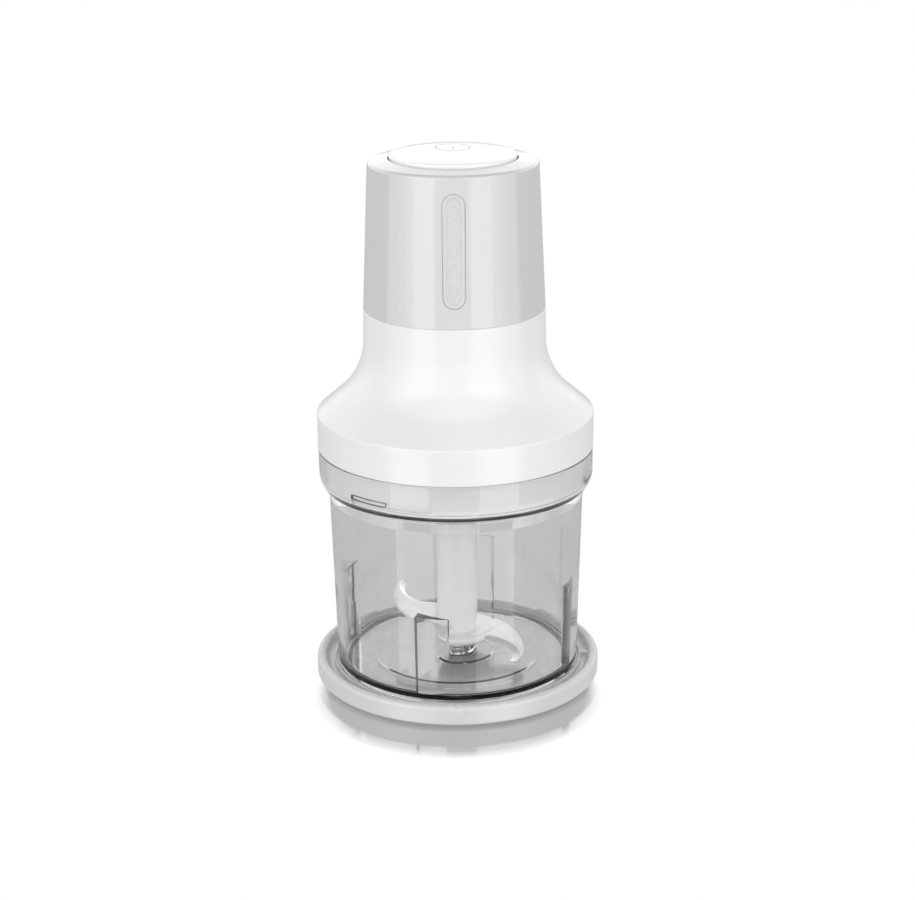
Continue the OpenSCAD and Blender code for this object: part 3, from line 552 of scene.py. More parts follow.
def film(name, colour, band):
    """Shrink sleeve on a cell: a glossy film with a paler band and fine wrinkles."""
    n = Nodes(name)
    height = n.add("ShaderNodeSeparateXYZ")
    n.link(n.place, height.inputs[0])
    start, end = band
    step = 0.4 * MM
    rise = n.ranged(height.outputs["Z"], start * MM, start * MM + step, 0, 1)
    fall = n.ranged(height.outputs["Z"], end * MM, end * MM + step, 1, 0)
    base = n.mixed(n.noise(90, 3), shade(colour, 0.9), shade(colour, 1.1))
    base = n.mixed(n.math("MULTIPLY", rise, fall), base, (0.72, 0.74, 0.76))
    wrinkle = n.noise(240, 3, n.stretched((1, 1, 0.2)))
    gloss = n.ranged(wrinkle, 0.3, 0.7, 0.2, 0.36)
    return n.finish(base, gloss, n.bump(wrinkle, 0.05), Coat_Weight=0.3)


def smoky_clear(name, tint, density):
    """Smoky clear plastic: tinted in its depth, with faint flow waves; lamps shine through it."""
    n = Nodes(name)
    base = n.mixed(n.ranged(n.noise(18, 3), 0.3, 0.7, 0, 1), (0.985, 0.985, 0.985), (1, 1, 1))
    scuff = n.noise(700, 5, n.stretched((1, 1, 0.15)), 0.75)
    gloss = n.ranged(scuff, 0.55, 0.8, 0.02, 0.06)
    normal = n.bump(n.noise(60, 1), 0.0015)
    material = n.finish(base, gloss, normal, Transmission_Weight=1.0, IOR=1.49)
    clear = n.add("ShaderNodeBsdfTransparent")
    clear.inputs["Color"].default_value = (0.93, 0.93, 0.93, 1)
    through = n.add("ShaderNodeMixShader")
    n.link(n.add("ShaderNodeLightPath").outputs["Is Shadow Ray"], through.inputs[0])
    n.link(n.shader.outputs[0], through.inputs[1])
    n.link(clear.outputs[0], through.inputs[2])
    n.link(through.outputs[0], n.output.inputs["Surface"])
    depth = n.add("ShaderNodeVolumeAbsorption")
    depth.inputs["Color"].default_value = (*tint, 1)
    depth.inputs["Density"].default_value = density
    n.link(depth.outputs[0], n.output.inputs["Volume"])
    return material


WHITE = (0.785, 0.785, 0.787)
GREY = (0.57, 0.571, 0.584)
STEEL = (0.62, 0.63, 0.65)
MATERIALS = {made.name: made for made in (
    plastic("white_plastic", WHITE, 0.2),
    plastic("tray_plastic", (0.60, 0.60, 0.61), 0.25),
    plastic("grey_plastic", GREY, 0.16, coat=0.9, Coat_Roughness=0.1),
    plastic("button_plastic", (0.91, 0.91, 0.912), 0.2, coat=0.5, Coat_Roughness=0.08),
    plastic("coupling_plastic", (0.70, 0.70, 0.71), 0.3, grain=0.002),
    plastic("icon_print", (0.52, 0.53, 0.55), 0.3, grain=0.001),
    plastic("hub_plastic", (0.80, 0.80, 0.805), 0.22, coat=0.3, Subsurface_Weight=0.15,
            Subsurface_Scale=0.002),
    smoky_clear("smoky_plastic", (0.55, 0.56, 0.575), 30),
    # near-black plastic: painted shade for the bowl's rib edge and lug undersides
    plastic("painted_shade_edge", (0.05, 0.05, 0.052), 0.35),
    rubber("soft_rubber", (0.22, 0.22, 0.225)),
    rubber("grey_rubber", (0.36, 0.36, 0.37), 0.5),
    rubber("gasket_rubber", (0.04, 0.04, 0.041), 0.45),
    metal("steel", STEEL, 0.28, (1, 1, 8)),
    metal("blade_steel", (0.84, 0.845, 0.855), 0.34, (8, 1, 1), 900, 0.003, 0.04),
    metal("plated_steel", (0.58, 0.59, 0.58), 0.36, (1, 1, 3), 700),
    metal("nickel", (0.66, 0.62, 0.55), 0.3),
    sheets("lamination", (0.38, 0.38, 0.39)),
    sintered("bronze", (0.58, 0.40, 0.20)),
    windings("copper", (0.72, 0.28, 0.12)),
    rubber("magnet", (0.045, 0.045, 0.048), 0.5),
    film("cell_wrap", (0.05, 0.13, 0.33), (182, 189)),
    plastic("black_plastic", (0.05, 0.05, 0.053), 0.38, grain=0.004, vary=0.15),
    plastic("gear_plastic", (0.66, 0.65, 0.60), 0.42, grain=0.004, vary=0.05),
    circuit("circuit_board"),
    plastic("light_pipe", (0.80, 0.86, 0.80), 0.12, grain=0.0005, Transmission_Weight=0.6, IOR=1.49),
)}


def place(piece, body, material, slot, *replaced):
    """Gives a piece its material and its body, and hides the CAD nodes that it stands for. The slot
    argument is not used.
    """
    piece.data.materials.clear()
    piece.data.materials.append(MATERIALS[material])
    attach(piece, body)
    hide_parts(*replaced)
    return piece


# ---------- Base ----------

def base_tray():
    """Tray with a beaded rim, a ring that centres the bowl and ribs under its floor."""
    under_z = bowl_low_z - 2.6
    bead = 2.1
    floor_z, locate_z = bowl_low_z, bowl_low_z + 1.6
    corners = [
        (0, under_z), (50, under_z, 0.8), (50, tray_low_z, 0.3),
        (grip_r - 5.02, tray_low_z), (grip_r - 5.02, grip_top_z),
        (grip_r + 0.02, grip_top_z), (grip_r + 0.02, tray_low_z),
        *arc((tray_r - 1.2, tray_low_z + 1.2), 1.2, -90, 0, 6),
        *arc((tray_r - bead, tray_top_z - bead), bead, 0, 150, 18),
        (58.0, floor_z + 0.7), (57.7, floor_z + 0.3), (57.2, floor_z),
        (55.3, floor_z), (55.1, locate_z, 0.3), (54.4, locate_z, 0.3), (54.2, floor_z),
        (0, floor_z),
    ]
    tray = lathe("base_tray_shell", rounded(corners))
    key = prism("key", rectangle(54.7, 59.1, -1.2, 1.2), bowl_low_z - 1, bowl_low_z + 1.4)
    ribs = []
    for turn in range(8):
        bar = prism("bar", rectangle(12, 51, -0.8, 0.8), tray_low_z + 0.4, under_z + 0.4)
        bar.data.transform(Matrix.Rotation(math.radians(22.5 + 45 * turn), 4, "Z"))
        ribs.append(bar)
    combine(tray, "UNION", key, *ribs)
    return place(smooth(tray), "base", "tray_plastic", "white_plastic", "base_tray")


def base_grip_ring():
    """Rubber ring under the tray, with two grooves in the face that it stands on."""
    inner = grip_r - 5
    section = [(inner, grip_top_z), *arc((inner + 0.5, 0.5), 0.5, 180, 270, 5)]
    for groove in (inner + 1.7, inner + 3.3):
        section += [(groove - 0.3, 0), (groove - 0.15, 0.3), (groove + 0.15, 0.3), (groove + 0.3, 0)]
    section += [*arc((grip_r - 0.5, 0.5), 0.5, 270, 360, 5), (grip_r, grip_top_z)]
    ring = lathe("base_grip", section)
    return place(smooth(ring), "base", "soft_rubber", "soft_rubber", "base_grip_ring")


# ---------- Bowl ----------

def bowl_angles():
    """Column angles, with a close pair at each steep step of a rib or a lug."""
    angles = {360 * j / COLUMNS for j in range(COLUMNS)}
    step = 0.35
    edges = [(azimuth(t) - step, azimuth(t)) for t in rib_turns]
    edges += [(azimuth(t) - lug_span / 2 - step, azimuth(t) - lug_span / 2) for t in lug_turns]
    edges += [(azimuth(t) + lug_span / 2, azimuth(t) + lug_span / 2 + step) for t in lug_turns]
    for start, end in edges:
        start, end = start % 360, end % 360
        angles = {a for a in angles if min((a - start) % 360, (end - a) % 360) > 0.5
                  and min((start - a) % 360, (a - end) % 360) > 0.5}
        angles |= {start, end}
    angles |= {(azimuth(t) + rib_span) % 360 for t in rib_turns}
    return sorted(angles)


def bowl_section(angle):
    """Outline of the bowl's wall at an angle, with its ribs and lugs."""
    rib_r = 60.0
    for turn in rib_turns:
        along = (angle - azimuth(turn)) % 360
        if along < rib_span:
            rib_r = wall_r(30) - bowl_wall - rib_depth * (1 - along / rib_span)
    away = min(abs((angle - azimuth(t) + 180) % 360 - 180) for t in lug_turns)
    lug_r = lug_in_r if away <= lug_span / 2 + 0.01 else collar_in_r

    foot = [(0, bowl_low_z + 0.8), (47.5, bowl_low_z + 0.8), (48.3, bowl_low_z)]
    foot += arc((bowl_foot_r - 1.6, bowl_low_z + 1.6), 1.6, -90, 0, 8)
    outside = [(wall_r(z), z) for z in (28, 47, 66)] + [(bowl_top_r, bowl_wall_top_z)]
    outside += arc((collar_r - collar_round, collar_mid_z), collar_round, -45, 0, 12)
    lip_z = collar_z + 0.15
    lip = arc((collar_r - 0.4, lip_z - 0.4), 0.4, 0, 90, 5)
    lip += [(collar_in_r + 0.4, lip_z), (collar_in_r + 0.1, lip_z - 0.15)]
    lip += [(collar_in_r, lip_z - 0.45)]
    lug_edge_r = min(lug_r + 0.15, collar_in_r)
    lugs = [(collar_in_r, lug_z[1] + 0.15), (lug_edge_r, lug_z[1]), (lug_r, lug_z[1] - 0.15)]
    lugs += [(lug_r, lug_z[0] + 0.15), (lug_edge_r, lug_z[0]), (collar_in_r, lug_z[0] - 0.15)]
    inner_r = bowl_top_r - bowl_wall
    inside = [(collar_in_r, shelf_z + 0.3), (collar_in_r - 0.3, shelf_z), (inner_r + 0.6, shelf_z)]
    inside += [(inner_r, shelf_z - 0.6), (inner_r, bowl_wall_top_z)]
    inside += [(wall_r(z) - bowl_wall, z) for z in (66, 50)]

    face_r = wall_r(rib_top_z) - bowl_wall
    edge_r = min(face_r, rib_r)
    slope = math.tan(math.radians(14))
    top_z = rib_top_z - (face_r - 43.8) * slope
    edge_z = top_z + (face_r - edge_r) * slope
    rounding = 0.25 if rib_r < face_r else 0
    inside += [(face_r, top_z), (edge_r + rounding, edge_z - 0.02), (edge_r, edge_z - 0.3)]
    inside += [(min(wall_r(z) - bowl_wall, rib_r), z) for z in (36, 24)]
    fillet = arc((wall_r(12) - bowl_wall - 2.5, bowl_floor_z + 2.5), 2.5, 0, -90, 8)
    inside += [(min(r, rib_r), z) for r, z in fillet]
    floor = [(44, bowl_floor_z), (36.9, bowl_floor_z), (36, bowl_floor_z + 0.4)]
    floor += [(17, bowl_floor_z + 0.4), (16, bowl_floor_z + 0.9), (9.3, bowl_floor_z + 0.9)]
    floor += [(8.7, bowl_floor_z + 1.1), (8.5, bowl_floor_z + 1.6), (8.5, 12.1), (8.1, 12.5)]
    floor += [(4.92, 12.5), (4.92, bowl_floor_z + 0.42), (6.52, bowl_floor_z + 0.42)]
    floor += [(6.52, pin_base_z - 0.02), (0, pin_base_z - 0.02)]
    return foot + outside + lip + lugs + inside + floor


def bowl():
    """Smoky clear bowl in one closed wall, so that light bends through it as in the real one. The
    steep edge of its front rib and the undersides of its lugs get a near-black material: painted
    shade for the dark lines that the bending light shows there."""
    made = lathe("bowl_wall", bowl_section, bowl_angles())
    place(smooth(made, 28), "bowl", "smoky_plastic", "smoky_plastic", "bowl")
    # painted shade: a second, near-black material for the rib's steep edge and the lugs' undersides
    made.data.materials.append(MATERIALS["painted_shade_edge"])
    edge = math.radians(azimuth(rib_turns[1]) - 0.2)
    ahead = Vector((-math.sin(edge), math.cos(edge), 0))
    for face in made.data.polygons:
        spot = face.center / MM
        on_rib = abs(face.normal.dot(ahead)) > 0.8 and abs(spot.dot(ahead)) < 0.5 and spot.y < 0
        under_lug = abs(face.normal.z) > 0.8 and abs(spot.z - lug_z[0]) < 0.2
        if on_rib or under_lug:
            face.material_index = 1


def spindle_pin():
    """Steel pin with a ribbed foot moulded into the bowl's floor."""
    section = [(0, pin_base_z), (6.5, pin_base_z, 0.3), (6.5, 9.4, 0.3), (4.9, 9.4), (4.9, 12.4)]
    for i in range(5):
        z = 12.5 + 0.7 * i
        section += [(4.9, z), (4.9, z + 0.2), (4.2, z + 0.32), (4.2, z + 0.5), (4.9, z + 0.62)]
    section += [(4.9, 16.0), (4.5, 16.2), (3.4, 16.2), (3.0, 16.6)]
    section += [(3.0, pin_top_z - 1.2), *arc((2.0, pin_top_z - 1), 1.0, 0, 90, 6), (0, pin_top_z)]
    pin = lathe("spindle_pin_turned", rounded(section))
    return place(smooth(pin), "bowl", "steel", "steel", "spindle_pin")


# ---------- Blades ----------

BACK_C, BACK_R = (4, -15), 25.3   # curved back of a blade
EDGE_C, EDGE_R = (15, -21), 9.4   # hollow cutting edge
BLADE_T = 1.2


def blade_plate(name, root_z, slope, turn, grown=0.0, ground=True):
    """One blade in its place: a crescent with a hollow-ground edge, tilted about the hub."""
    t0, t1 = -grown, BLADE_T + grown
    plate = prism(name, circle(BACK_R, BACK_C, 144), t0, t1)
    limits = [(3, -9), (15, -11.6), EDGE_C, (22.9, -26.1), (25.8, -28.2), (45, -24), (45, 10), (3, 10)]
    combine(plate, "INTERSECT", prism("limits", limits, t0 - 1, t1 + 1))
    combine(plate, "UNION", prism("tip", circle(1.5, (24.5, -26.4), 32), t0, t1))
    hollow = prism("hollow", circle(EDGE_R, EDGE_C, 96), t0 - 1, t1 + 1)
    combine(plate, "DIFFERENCE", hollow, prism("bore", circle(6), t0 - 1, t1 + 1))
    if ground:
        rise = BLADE_T - 0.25
        cone = lathe("cone", [(0, 0.25), (EDGE_R, 0.25), (EDGE_R + 2.6, 0.25 + rise),
                              (EDGE_R + 5.2, 0.25 + 2 * rise), (0, 0.25 + 2 * rise)])
        cone.data.transform(Matrix.Translation(Vector((*EDGE_C, 0)) * MM))
        combine(plate, "DIFFERENCE", cone)
    tilt = Matrix.Rotation(math.radians(slope), 4, "Y") @ Matrix.Rotation(math.radians(45), 4, "Z")
    turned = Matrix.Rotation(math.radians(turn - 45), 4, "Z") @ tilt
    plate.data.transform(Matrix.Translation((0, 0, root_z * MM)) @ turned)
    return plate


LOWER = (21.4, 11.5, 0)      # height at the axis, slope and turn
UPPER = (23.6, -11.5, 180)


def blades():
    for node, put in (("lower_blade", LOWER), ("upper_blade", UPPER)):
        blade = blade_plate(node + "_ground", *put)
        place(smooth(blade, 20), "blade_unit", "blade_steel", "blade_steel", node)


def blade_hub():
    """Hub: a cup-shaped foot over the pin, a slim column and three driving dogs."""
    top_z = dog_top_z - 5
    section = [(5, hub_low_z + 0.4), (5.4, hub_low_z), (12.6, hub_low_z)]
    section += arc((13.2, hub_low_z + 2.6), 2.8, -68, 0, 10)
    section += [(16, 19.4), *arc((15.4, 19.4), 0.6, 0, 90, 4)[1:]]
    section += arc((11, 22), 2, 270, 180, 8)
    section += [(8.8, 40), (8.5, 66), (8.2, top_z, 0.5), (0, top_z), (0, 65), (4.4, 65), (5, 64.4)]
    hub = lathe("blade_hub_moulded", rounded(section))
    for i in range(3):
        dog = prism("dog", sector(3.8, 7.8, 120 * i, 30), top_z - 1, dog_top_z)
        combine(hub, "UNION", bevel(dog, 0.4))
    for put in (LOWER, UPPER):
        combine(hub, "DIFFERENCE", blade_plate("slot", *put, grown=0.01, ground=False))
    return place(smooth(hub), "blade_unit", "hub_plastic", "white_plastic", "blade_hub")


# ---------- Inner lid ----------

def splash_lid():
    """Lid that keeps food off the head, with a tube for the hub, two finger tabs and a ramp."""
    low_z = lid_low_z
    corners = [
        (lid_tube_r, low_z, 0.3), (lid_flange_r, low_z, 0.3), (lid_flange_r, low_z + 1, 0.3),
        (lid_wall_r, low_z + 1, 0.3), (lid_wall_r, lid_top_z + 4, 0.5),
        (lid_wall_r - 1.6, lid_top_z + 4, 0.5), (lid_wall_r - 1.6, lid_top_z, 0.8),
        (lid_tube_r + 2, lid_top_z, 0.8), (lid_tube_r + 2, lid_top_z + 4.9, 0.5),
        (lid_tube_r, lid_top_z + 4.9, 0.5),
    ]
    lid = lathe("splash_lid_moulded", rounded(corners))
    for side in (0, 180):
        tab = prism("tab", rectangle(20, 32, -1, 1), lid_top_z - 0.5, lid_top_z + 5.5)
        bevel(tab, 0.5)
        tab.data.transform(Matrix.Rotation(math.radians(side), 4, "Z"))
        combine(lid, "UNION", tab)
    rise = 2.5
    base_z = lid_top_z + 0.3
    run = rod_y * math.sin(math.radians(lock_turn))
    reach, slope = run + 3, rise / run
    outline = [(-4, lid_top_z - 0.5), (reach, lid_top_z - 0.5), (reach, base_z + reach * slope),
               (0, base_z), (-4, base_z)]
    ramp = loft("ramp", [[(x, y, z) for x, z in outline] for y in (rod_y - 5.5, rod_y + 1.5)])
    combine(lid, "UNION", ramp)
    for turn in lug_turns:
        notch = sector(lug_in_r - 0.4, lid_flange_r + 2, azimuth(turn), lug_span + 2)
        combine(lid, "DIFFERENCE", prism("notch", notch, low_z - 1, low_z + 3))
    return place(smooth(lid), "inner_lid", "white_plastic", "white_plastic", "splash_lid")


def lid_gasket():
    """Soft ring between the lid and the bowl's shelf."""
    inner, outer = 53.2, 54.7
    section = rounded([(inner, shelf_z, 0.25), (outer, shelf_z, 0.25),
                       (outer, lid_low_z, 0.25), (inner, lid_low_z, 0.25)])
    ring = lathe("lid_gasket_ring", section)
    return place(smooth(ring), "inner_lid", "gasket_rubber", "soft_rubber", "lid_gasket")


# ---------- Head ----------

def head_base():
    """Floor of the head: a locking ring with three grooves, and posts that guide the interlock."""
    plate_z, plate_top, plate_r = skirt_z + 0.3, skirt_z + 2.7, 57.0
    ring_out, ring_in = 56.4, 53.6
    corners = [
        (13, plate_z, 0.3), (ring_in, plate_z, 0.8), (ring_in, lock_ring_z, 0.4),
        (ring_out, lock_ring_z, 0.4), (ring_out, plate_z, 0.2), (plate_r, plate_z),
        (plate_r, plate_top, 0.4), (13, plate_top, 0.3),
    ]
    base = lathe("head_base_moulded", rounded(corners))
    back = ring_out - 1.5
    for turn in lug_turns:
        mid = azimuth(turn)
        entry = sector(back, ring_out + 2, mid, lug_span + 1.2)
        run = sector(back, ring_out + 2, mid + lock_turn / 2, lug_span + 1.6 + lock_turn, 24)
        combine(base, "DIFFERENCE", prism("entry", entry, lock_ring_z - 1, lug_z[0] + 1),
                prism("run", run, lug_z[0] - 0.6, lug_z[1] + 0.6))
    bridge_z = 120.0
    for side in (-1, 1):
        x = side * 7.9
        post = rectangle(x - 1.2, x + 1.2, rod_y - 3, rod_y + 3)
        combine(base, "UNION", prism("post", post, plate_top - 0.5, bridge_z + 8))
    bridge = rectangle(-8, 8, rod_y - 2.99, rod_y + 2.99)
    boss = circle(3.4, (0, rod_y), 48)
    combine(base, "UNION", prism("bridge", bridge, bridge_z, bridge_z + 0.9),
            prism("boss", boss, plate_top - 0.5, plate_top + 1.5))
    combine(base, "DIFFERENCE", prism("bore", circle(1.6, (0, rod_y), 48), plate_z - 1, bridge_z + 2))
    for turn in screw_turns:
        for radius in (screw_ring_r, 30):
            hole = circle(1.6, polar(radius, turn), 36)
            combine(base, "DIFFERENCE", prism("hole", hole, plate_z - 1, plate_top + 1))
    return place(smooth(base), "head", "white_plastic", "white_plastic", "head_base")


def bell_curve(t):
    """Bell's outline from the skirt's foot to the neck, moved inwards by t."""
    centre = (bell_neck_r + flare_r, flare_top_z)
    r = flare_r + t
    foot_x = centre[0] - r * math.cos(math.radians(flare_turn))
    foot_z = centre[1] - r * math.sin(math.radians(flare_turn))
    edge_r = skirt_r - t
    edge_z = foot_z - (edge_r - foot_x) / math.tan(math.radians(flare_turn))
    curve = arc((edge_r - 1, edge_z - 0.1), 1, 0, 90 - flare_turn, 6)
    curve += arc(centre, r, 180 + flare_turn, 180, 28)
    return curve + [(neck_r - t + 0.1, (flare_top_z + seam_z) / 2)]


def bell_housing():
    """White bell: a straight skirt, a wide flare and a neck, with bosses for four screws."""
    outer = [*arc((skirt_r - 0.4, skirt_z + 0.4), 0.4, -90, 0, 4), *bell_curve(0)]
    outer += [(neck_r, seam_z - 0.3), (neck_r - 0.3, seam_z)]
    inner = [(neck_r - shell_t, seam_z), *reversed(bell_curve(shell_t))]
    inner += [(skirt_r - shell_t, skirt_z)]
    bell = lathe("bell_housing_shell", outer + inner)
    for turn in screw_turns:
        spot = polar(screw_ring_r, turn)
        boss = prism("boss", circle(3.6, spot, 48), skirt_z + 2.7, 140)
        core = lathe("core", [(0, skirt_z), (skirt_r - 0.6, skirt_z), *bell_curve(0.6), (0, seam_z)])
        combine(bell, "UNION", combine(boss, "INTERSECT", core))
        combine(bell, "DIFFERENCE", prism("hole", circle(1.52, spot, 36), skirt_z, skirt_z + 12.7))
    groove = lathe("groove", [(33, seam_z - 6.4), (neck_r - shell_t + 0.5, seam_z - 6.4),
                              (neck_r - shell_t + 0.5, seam_z - 4.8), (33, seam_z - 4.8)])
    combine(bell, "DIFFERENCE", groove)
    return place(smooth(bell), "head", "white_plastic", "white_plastic", "bell_housing")


def upper_casing():
    """Grey casing: a slim cone with a recess for the badge and openings for the port and light."""
    lip_r = neck_r - shell_t - 0.15
    t = shell_t
    corner_z = casing_corner_z - casing_corner_r
    outer = [(lip_r - 2, casing_low_z), (lip_r - 0.3, casing_low_z), (lip_r, casing_low_z + 0.3)]
    outer += [(lip_r, seam_z), (neck_r - 0.25, seam_z), (neck_r, seam_z + 0.25)]
    outer += [(casing_r(z), z) for z in (180, 193, 206, 219)]
    crown = rounded([(casing_r(corner_z), corner_z), (casing_r(230.35), 230.35, 1.7),
                     (opening_r, casing_high_z, 0.4), (opening_r, casing_high_z - t)], 8)
    outer += crown
    inner = [(casing_r(227) - t - 0.9, casing_high_z - t - 1.4), (casing_r(226) - t, 226)]
    inner += [(casing_r(z) - t, z) for z in (206, 187)] + [(neck_r - t, seam_z + 1.6)]
    inner += [(lip_r - 2, seam_z + 1.6)]
    casing = lathe("upper_casing_shell", outer + inner)
    for turn in range(0, 360, 90):
        snap = sector(lip_r - 1, lip_r + 0.4, turn, 16)
        combine(casing, "UNION", prism("snap", snap, seam_z - 6, seam_z - 5.2))
    recess = [(4.2, -1), (2, -1), (-0.1, -1), (-0.1, 0.7), (2, 0.7), (4.2, 0.7)]
    combine(casing, "DIFFERENCE", panel(
        "recess", -1, badge_mid_z, badge_half_w, badge_half_h, badge_half_w, recess))
    port = [(4, -1), (2, -1), (0, -1), (0, 1.6), (2, 1.6), (4, 1.6)]
    combine(casing, "DIFFERENCE", panel("port", 1, port_mid_z, port_half_w, port_half_h, 0.8, port))
    mouth = [[(x, y, z) for x, z in rectangle(-4.6, 4.6, port_mid_z - 1.75, port_mid_z + 1.75)]
             for y in (25, 40)]
    hole = [[(x, y, light_z + z) for x, z in circle(1.02, steps=36)] for y in (25, 40)]
    combine(casing, "DIFFERENCE", loft("mouth", mouth), loft("hole", hole))
    return place(smooth(casing), "head", "grey_plastic", "grey_plastic", "upper_casing")


def badge_insert():
    """Pill set into the casing's front: a raised border round a sunk field with five plain bars."""
    section = [(4.5, 0.7), (2.2, 0.7), (0.02, 0.7), (0.02, 0.2), (0.07, 0.15), (0.28, 0.15)]
    section += [(0.30, 0.1), (0.32, -0.12), (0.40, -0.2), (1.45, -0.2), (1.55, -0.14), (1.6, 0.1)]
    section += [(1.66, 0.15), (2.25, 0.15), (2.3, 0.22), (2.5, 0.22), (2.55, 0.15), (3.4, 0.15)]
    section += [(4.5, 0.15)]
    badge = panel("badge_plate", -1, badge_mid_z, badge_half_w, badge_half_h, badge_half_w, section)
    for step in range(-2, 3):
        bar = [(0.5, 0.4), (0.2, 0.4), (0, 0.4), (0, 0.02), (0.1, -0.05), (0.3, -0.05)]
        bar += [(0.4, 0.03), (0.65, 0.03), (0.9, 0.03)]
        combine(badge, "UNION", panel("bar", -1, badge_mid_z + 8 * step, 1.2, 2.9, 1.2, bar))
    return place(smooth(badge, 25), "head", "grey_plastic", "grey_plastic", "badge_insert")


def port_cover():
    """Rubber flap over the charging port, with rounded edges and a notch for a fingernail."""
    section = [(4, 1.45), (1.5, 1.45), (0.2, 1.45), (0, 1.25), (0, 0.3), (0.1, 0.08), (0.35, 0)]
    section += [(1.0, 0), (1.05, 0.08), (1.25, 0.08), (1.3, 0), (2.5, 0), (4, 0)]
    flap = panel("port_flap_rubber", 1, port_mid_z, port_half_w - 0.4, port_half_h - 0.4, 1.0, section)
    nail = prism("nail", rectangle(-4, 4, casing_r(port_mid_z) - 0.4, casing_r(port_mid_z) + 2),
                 port_mid_z - 6, port_mid_z - 3.8)
    combine(flap, "DIFFERENCE", nail)
    return place(smooth(flap), "port_flap", "grey_rubber", "grey_rubber", "port_cover")


def charge_light():
    """Small domed lens over the charging light."""
    end = high("charge_light").y
    start = low("charge_light").y
    section = [(0, start), (0.8, start), (1, start + 0.2), (1, end - 0.35)]
    section += [(0.96, end - 0.2), (0.8, end - 0.08), (0.5, end - 0.02), (0, end)]
    lens = lathe("charge_lens", section, [7.5 * j for j in range(48)])
    lying = Matrix.Rotation(-math.pi / 2, 4, "X")
    lens.data.transform(Matrix.Translation((0, 0, light_z * MM)) @ lying)
    return place(smooth(lens), "head", "light_pipe", "light_pipe", "charge_light")


def crown_z(r, rise=0.0):
    """Height of the button's domed top at a radius."""
    edge = button_r - 0.6
    bulge = button_high_z - button_side_z
    ball = (edge ** 2 + bulge ** 2) / (2 * bulge)
    return button_high_z - ball + math.sqrt(ball ** 2 - r ** 2) + rise


def press_button():
    """Domed button with a turned ring for its icon, a stop flange and a post below."""
    low_z = low("button_icon").z
    skirt_low_z, flange_r, flange_z = 224.5, 29.4, 228.6
    top = [(r, crown_z(r)) for r in (2.5, 5, icon_r - icon_w / 2 - 0.05)]
    top += [(icon_r - icon_w / 2, low_z), (icon_r + icon_w / 2, low_z)]
    top += [(r, crown_z(r)) for r in (icon_r + icon_w / 2 + 0.05, 11, 15, 19, 22.5, 25)]
    side = [(button_r - 0.6, crown_z(button_r - 0.6)), (button_r - 0.35, button_side_z - 0.1),
            (button_r - 0.05, button_side_z - 0.4), (button_r, button_side_z - 0.6),
            (button_r, flange_z)]
    flange = rounded([(button_r, flange_z), (flange_r, flange_z, 0.4), (flange_r, skirt_low_z, 0.4),
                      (24.9, skirt_low_z, 0.3), (24.9, 231.0)])[1:]
    under = [(20, crown_z(20, -2.4)), (14, crown_z(14, -2.4)), (9.2, crown_z(9.2, -2.4)), (9.2, 226)]
    under += [(7.6, 226), (7.6, crown_z(7.6, -2.4)), (3.5, crown_z(3.5, -2.4))]
    under += [(3.5, button_low_z + 0.4), (3.1, button_low_z), (0, button_low_z)]
    button = lathe("button_moulded", [(0, button_high_z), *top, *side, *flange, *under])
    bar = prism("bar", rectangle(-icon_w / 2, icon_w / 2, -4, 0.8), low_z, button_high_z + 1)
    combine(button, "DIFFERENCE", bar)
    return place(smooth(button), "button", "button_plastic", "button_plastic", "press_button")


def button_icon():
    """Printed ring and bar, filled flush into the button's top."""
    low_z, proud = low("button_icon").z, 0.07
    inner, outer = icon_r - icon_w / 2 + 0.01, icon_r + icon_w / 2 - 0.01
    section = [(inner, low_z), (inner, crown_z(inner)), (inner + 0.06, crown_z(inner, proud)),
               (outer - 0.06, crown_z(outer, proud)), (outer, crown_z(outer)), (outer, low_z)]
    ring = lathe("icon_ring_and_bar", section)
    x0, x1 = -icon_w / 2 + 0.01, icon_w / 2 - 0.01
    rings = []
    for inset, z in ((0, None), (0, 0.0), (0.06, proud)):
        corners = rectangle(x0 + inset, x1 - inset, -3.99 + inset, 0.79 - inset)
        rings.append([(x, y, low_z if z is None else crown_z(abs(y), z)) for x, y in corners])
    combine(ring, "UNION", loft("bar", rings))
    return place(smooth(ring), "button", "icon_print", "icon_print", "button_icon")


OWN = (base_tray, base_grip_ring, bowl, spindle_pin, blades, blade_hub, splash_lid, lid_gasket,
       head_base, bell_housing, upper_casing, badge_insert, port_cover, charge_light,
       press_button, button_icon)
for build in OWN:
    build()

# ---------- CAD nodes that stay ----------

for name, slot in cad_slots.items():
    nodes[name].material_slots[0].material = MATERIALS[slot]


# ---------- Studio, in metres ----------

TABLE_LEVEL = 0.58
BACKDROP_LEVEL = 1.45
ROOM_LEVEL = 0.5
CEILING_LEVEL = 0.4
SOFTBOX_DISTANCE = 1.5
CAMERA_AT = (0, -0.885, 0.397)
CAMERA_TURN = (18.38, 0.05, -0.52)   # pitch down, yaw and roll, in degrees


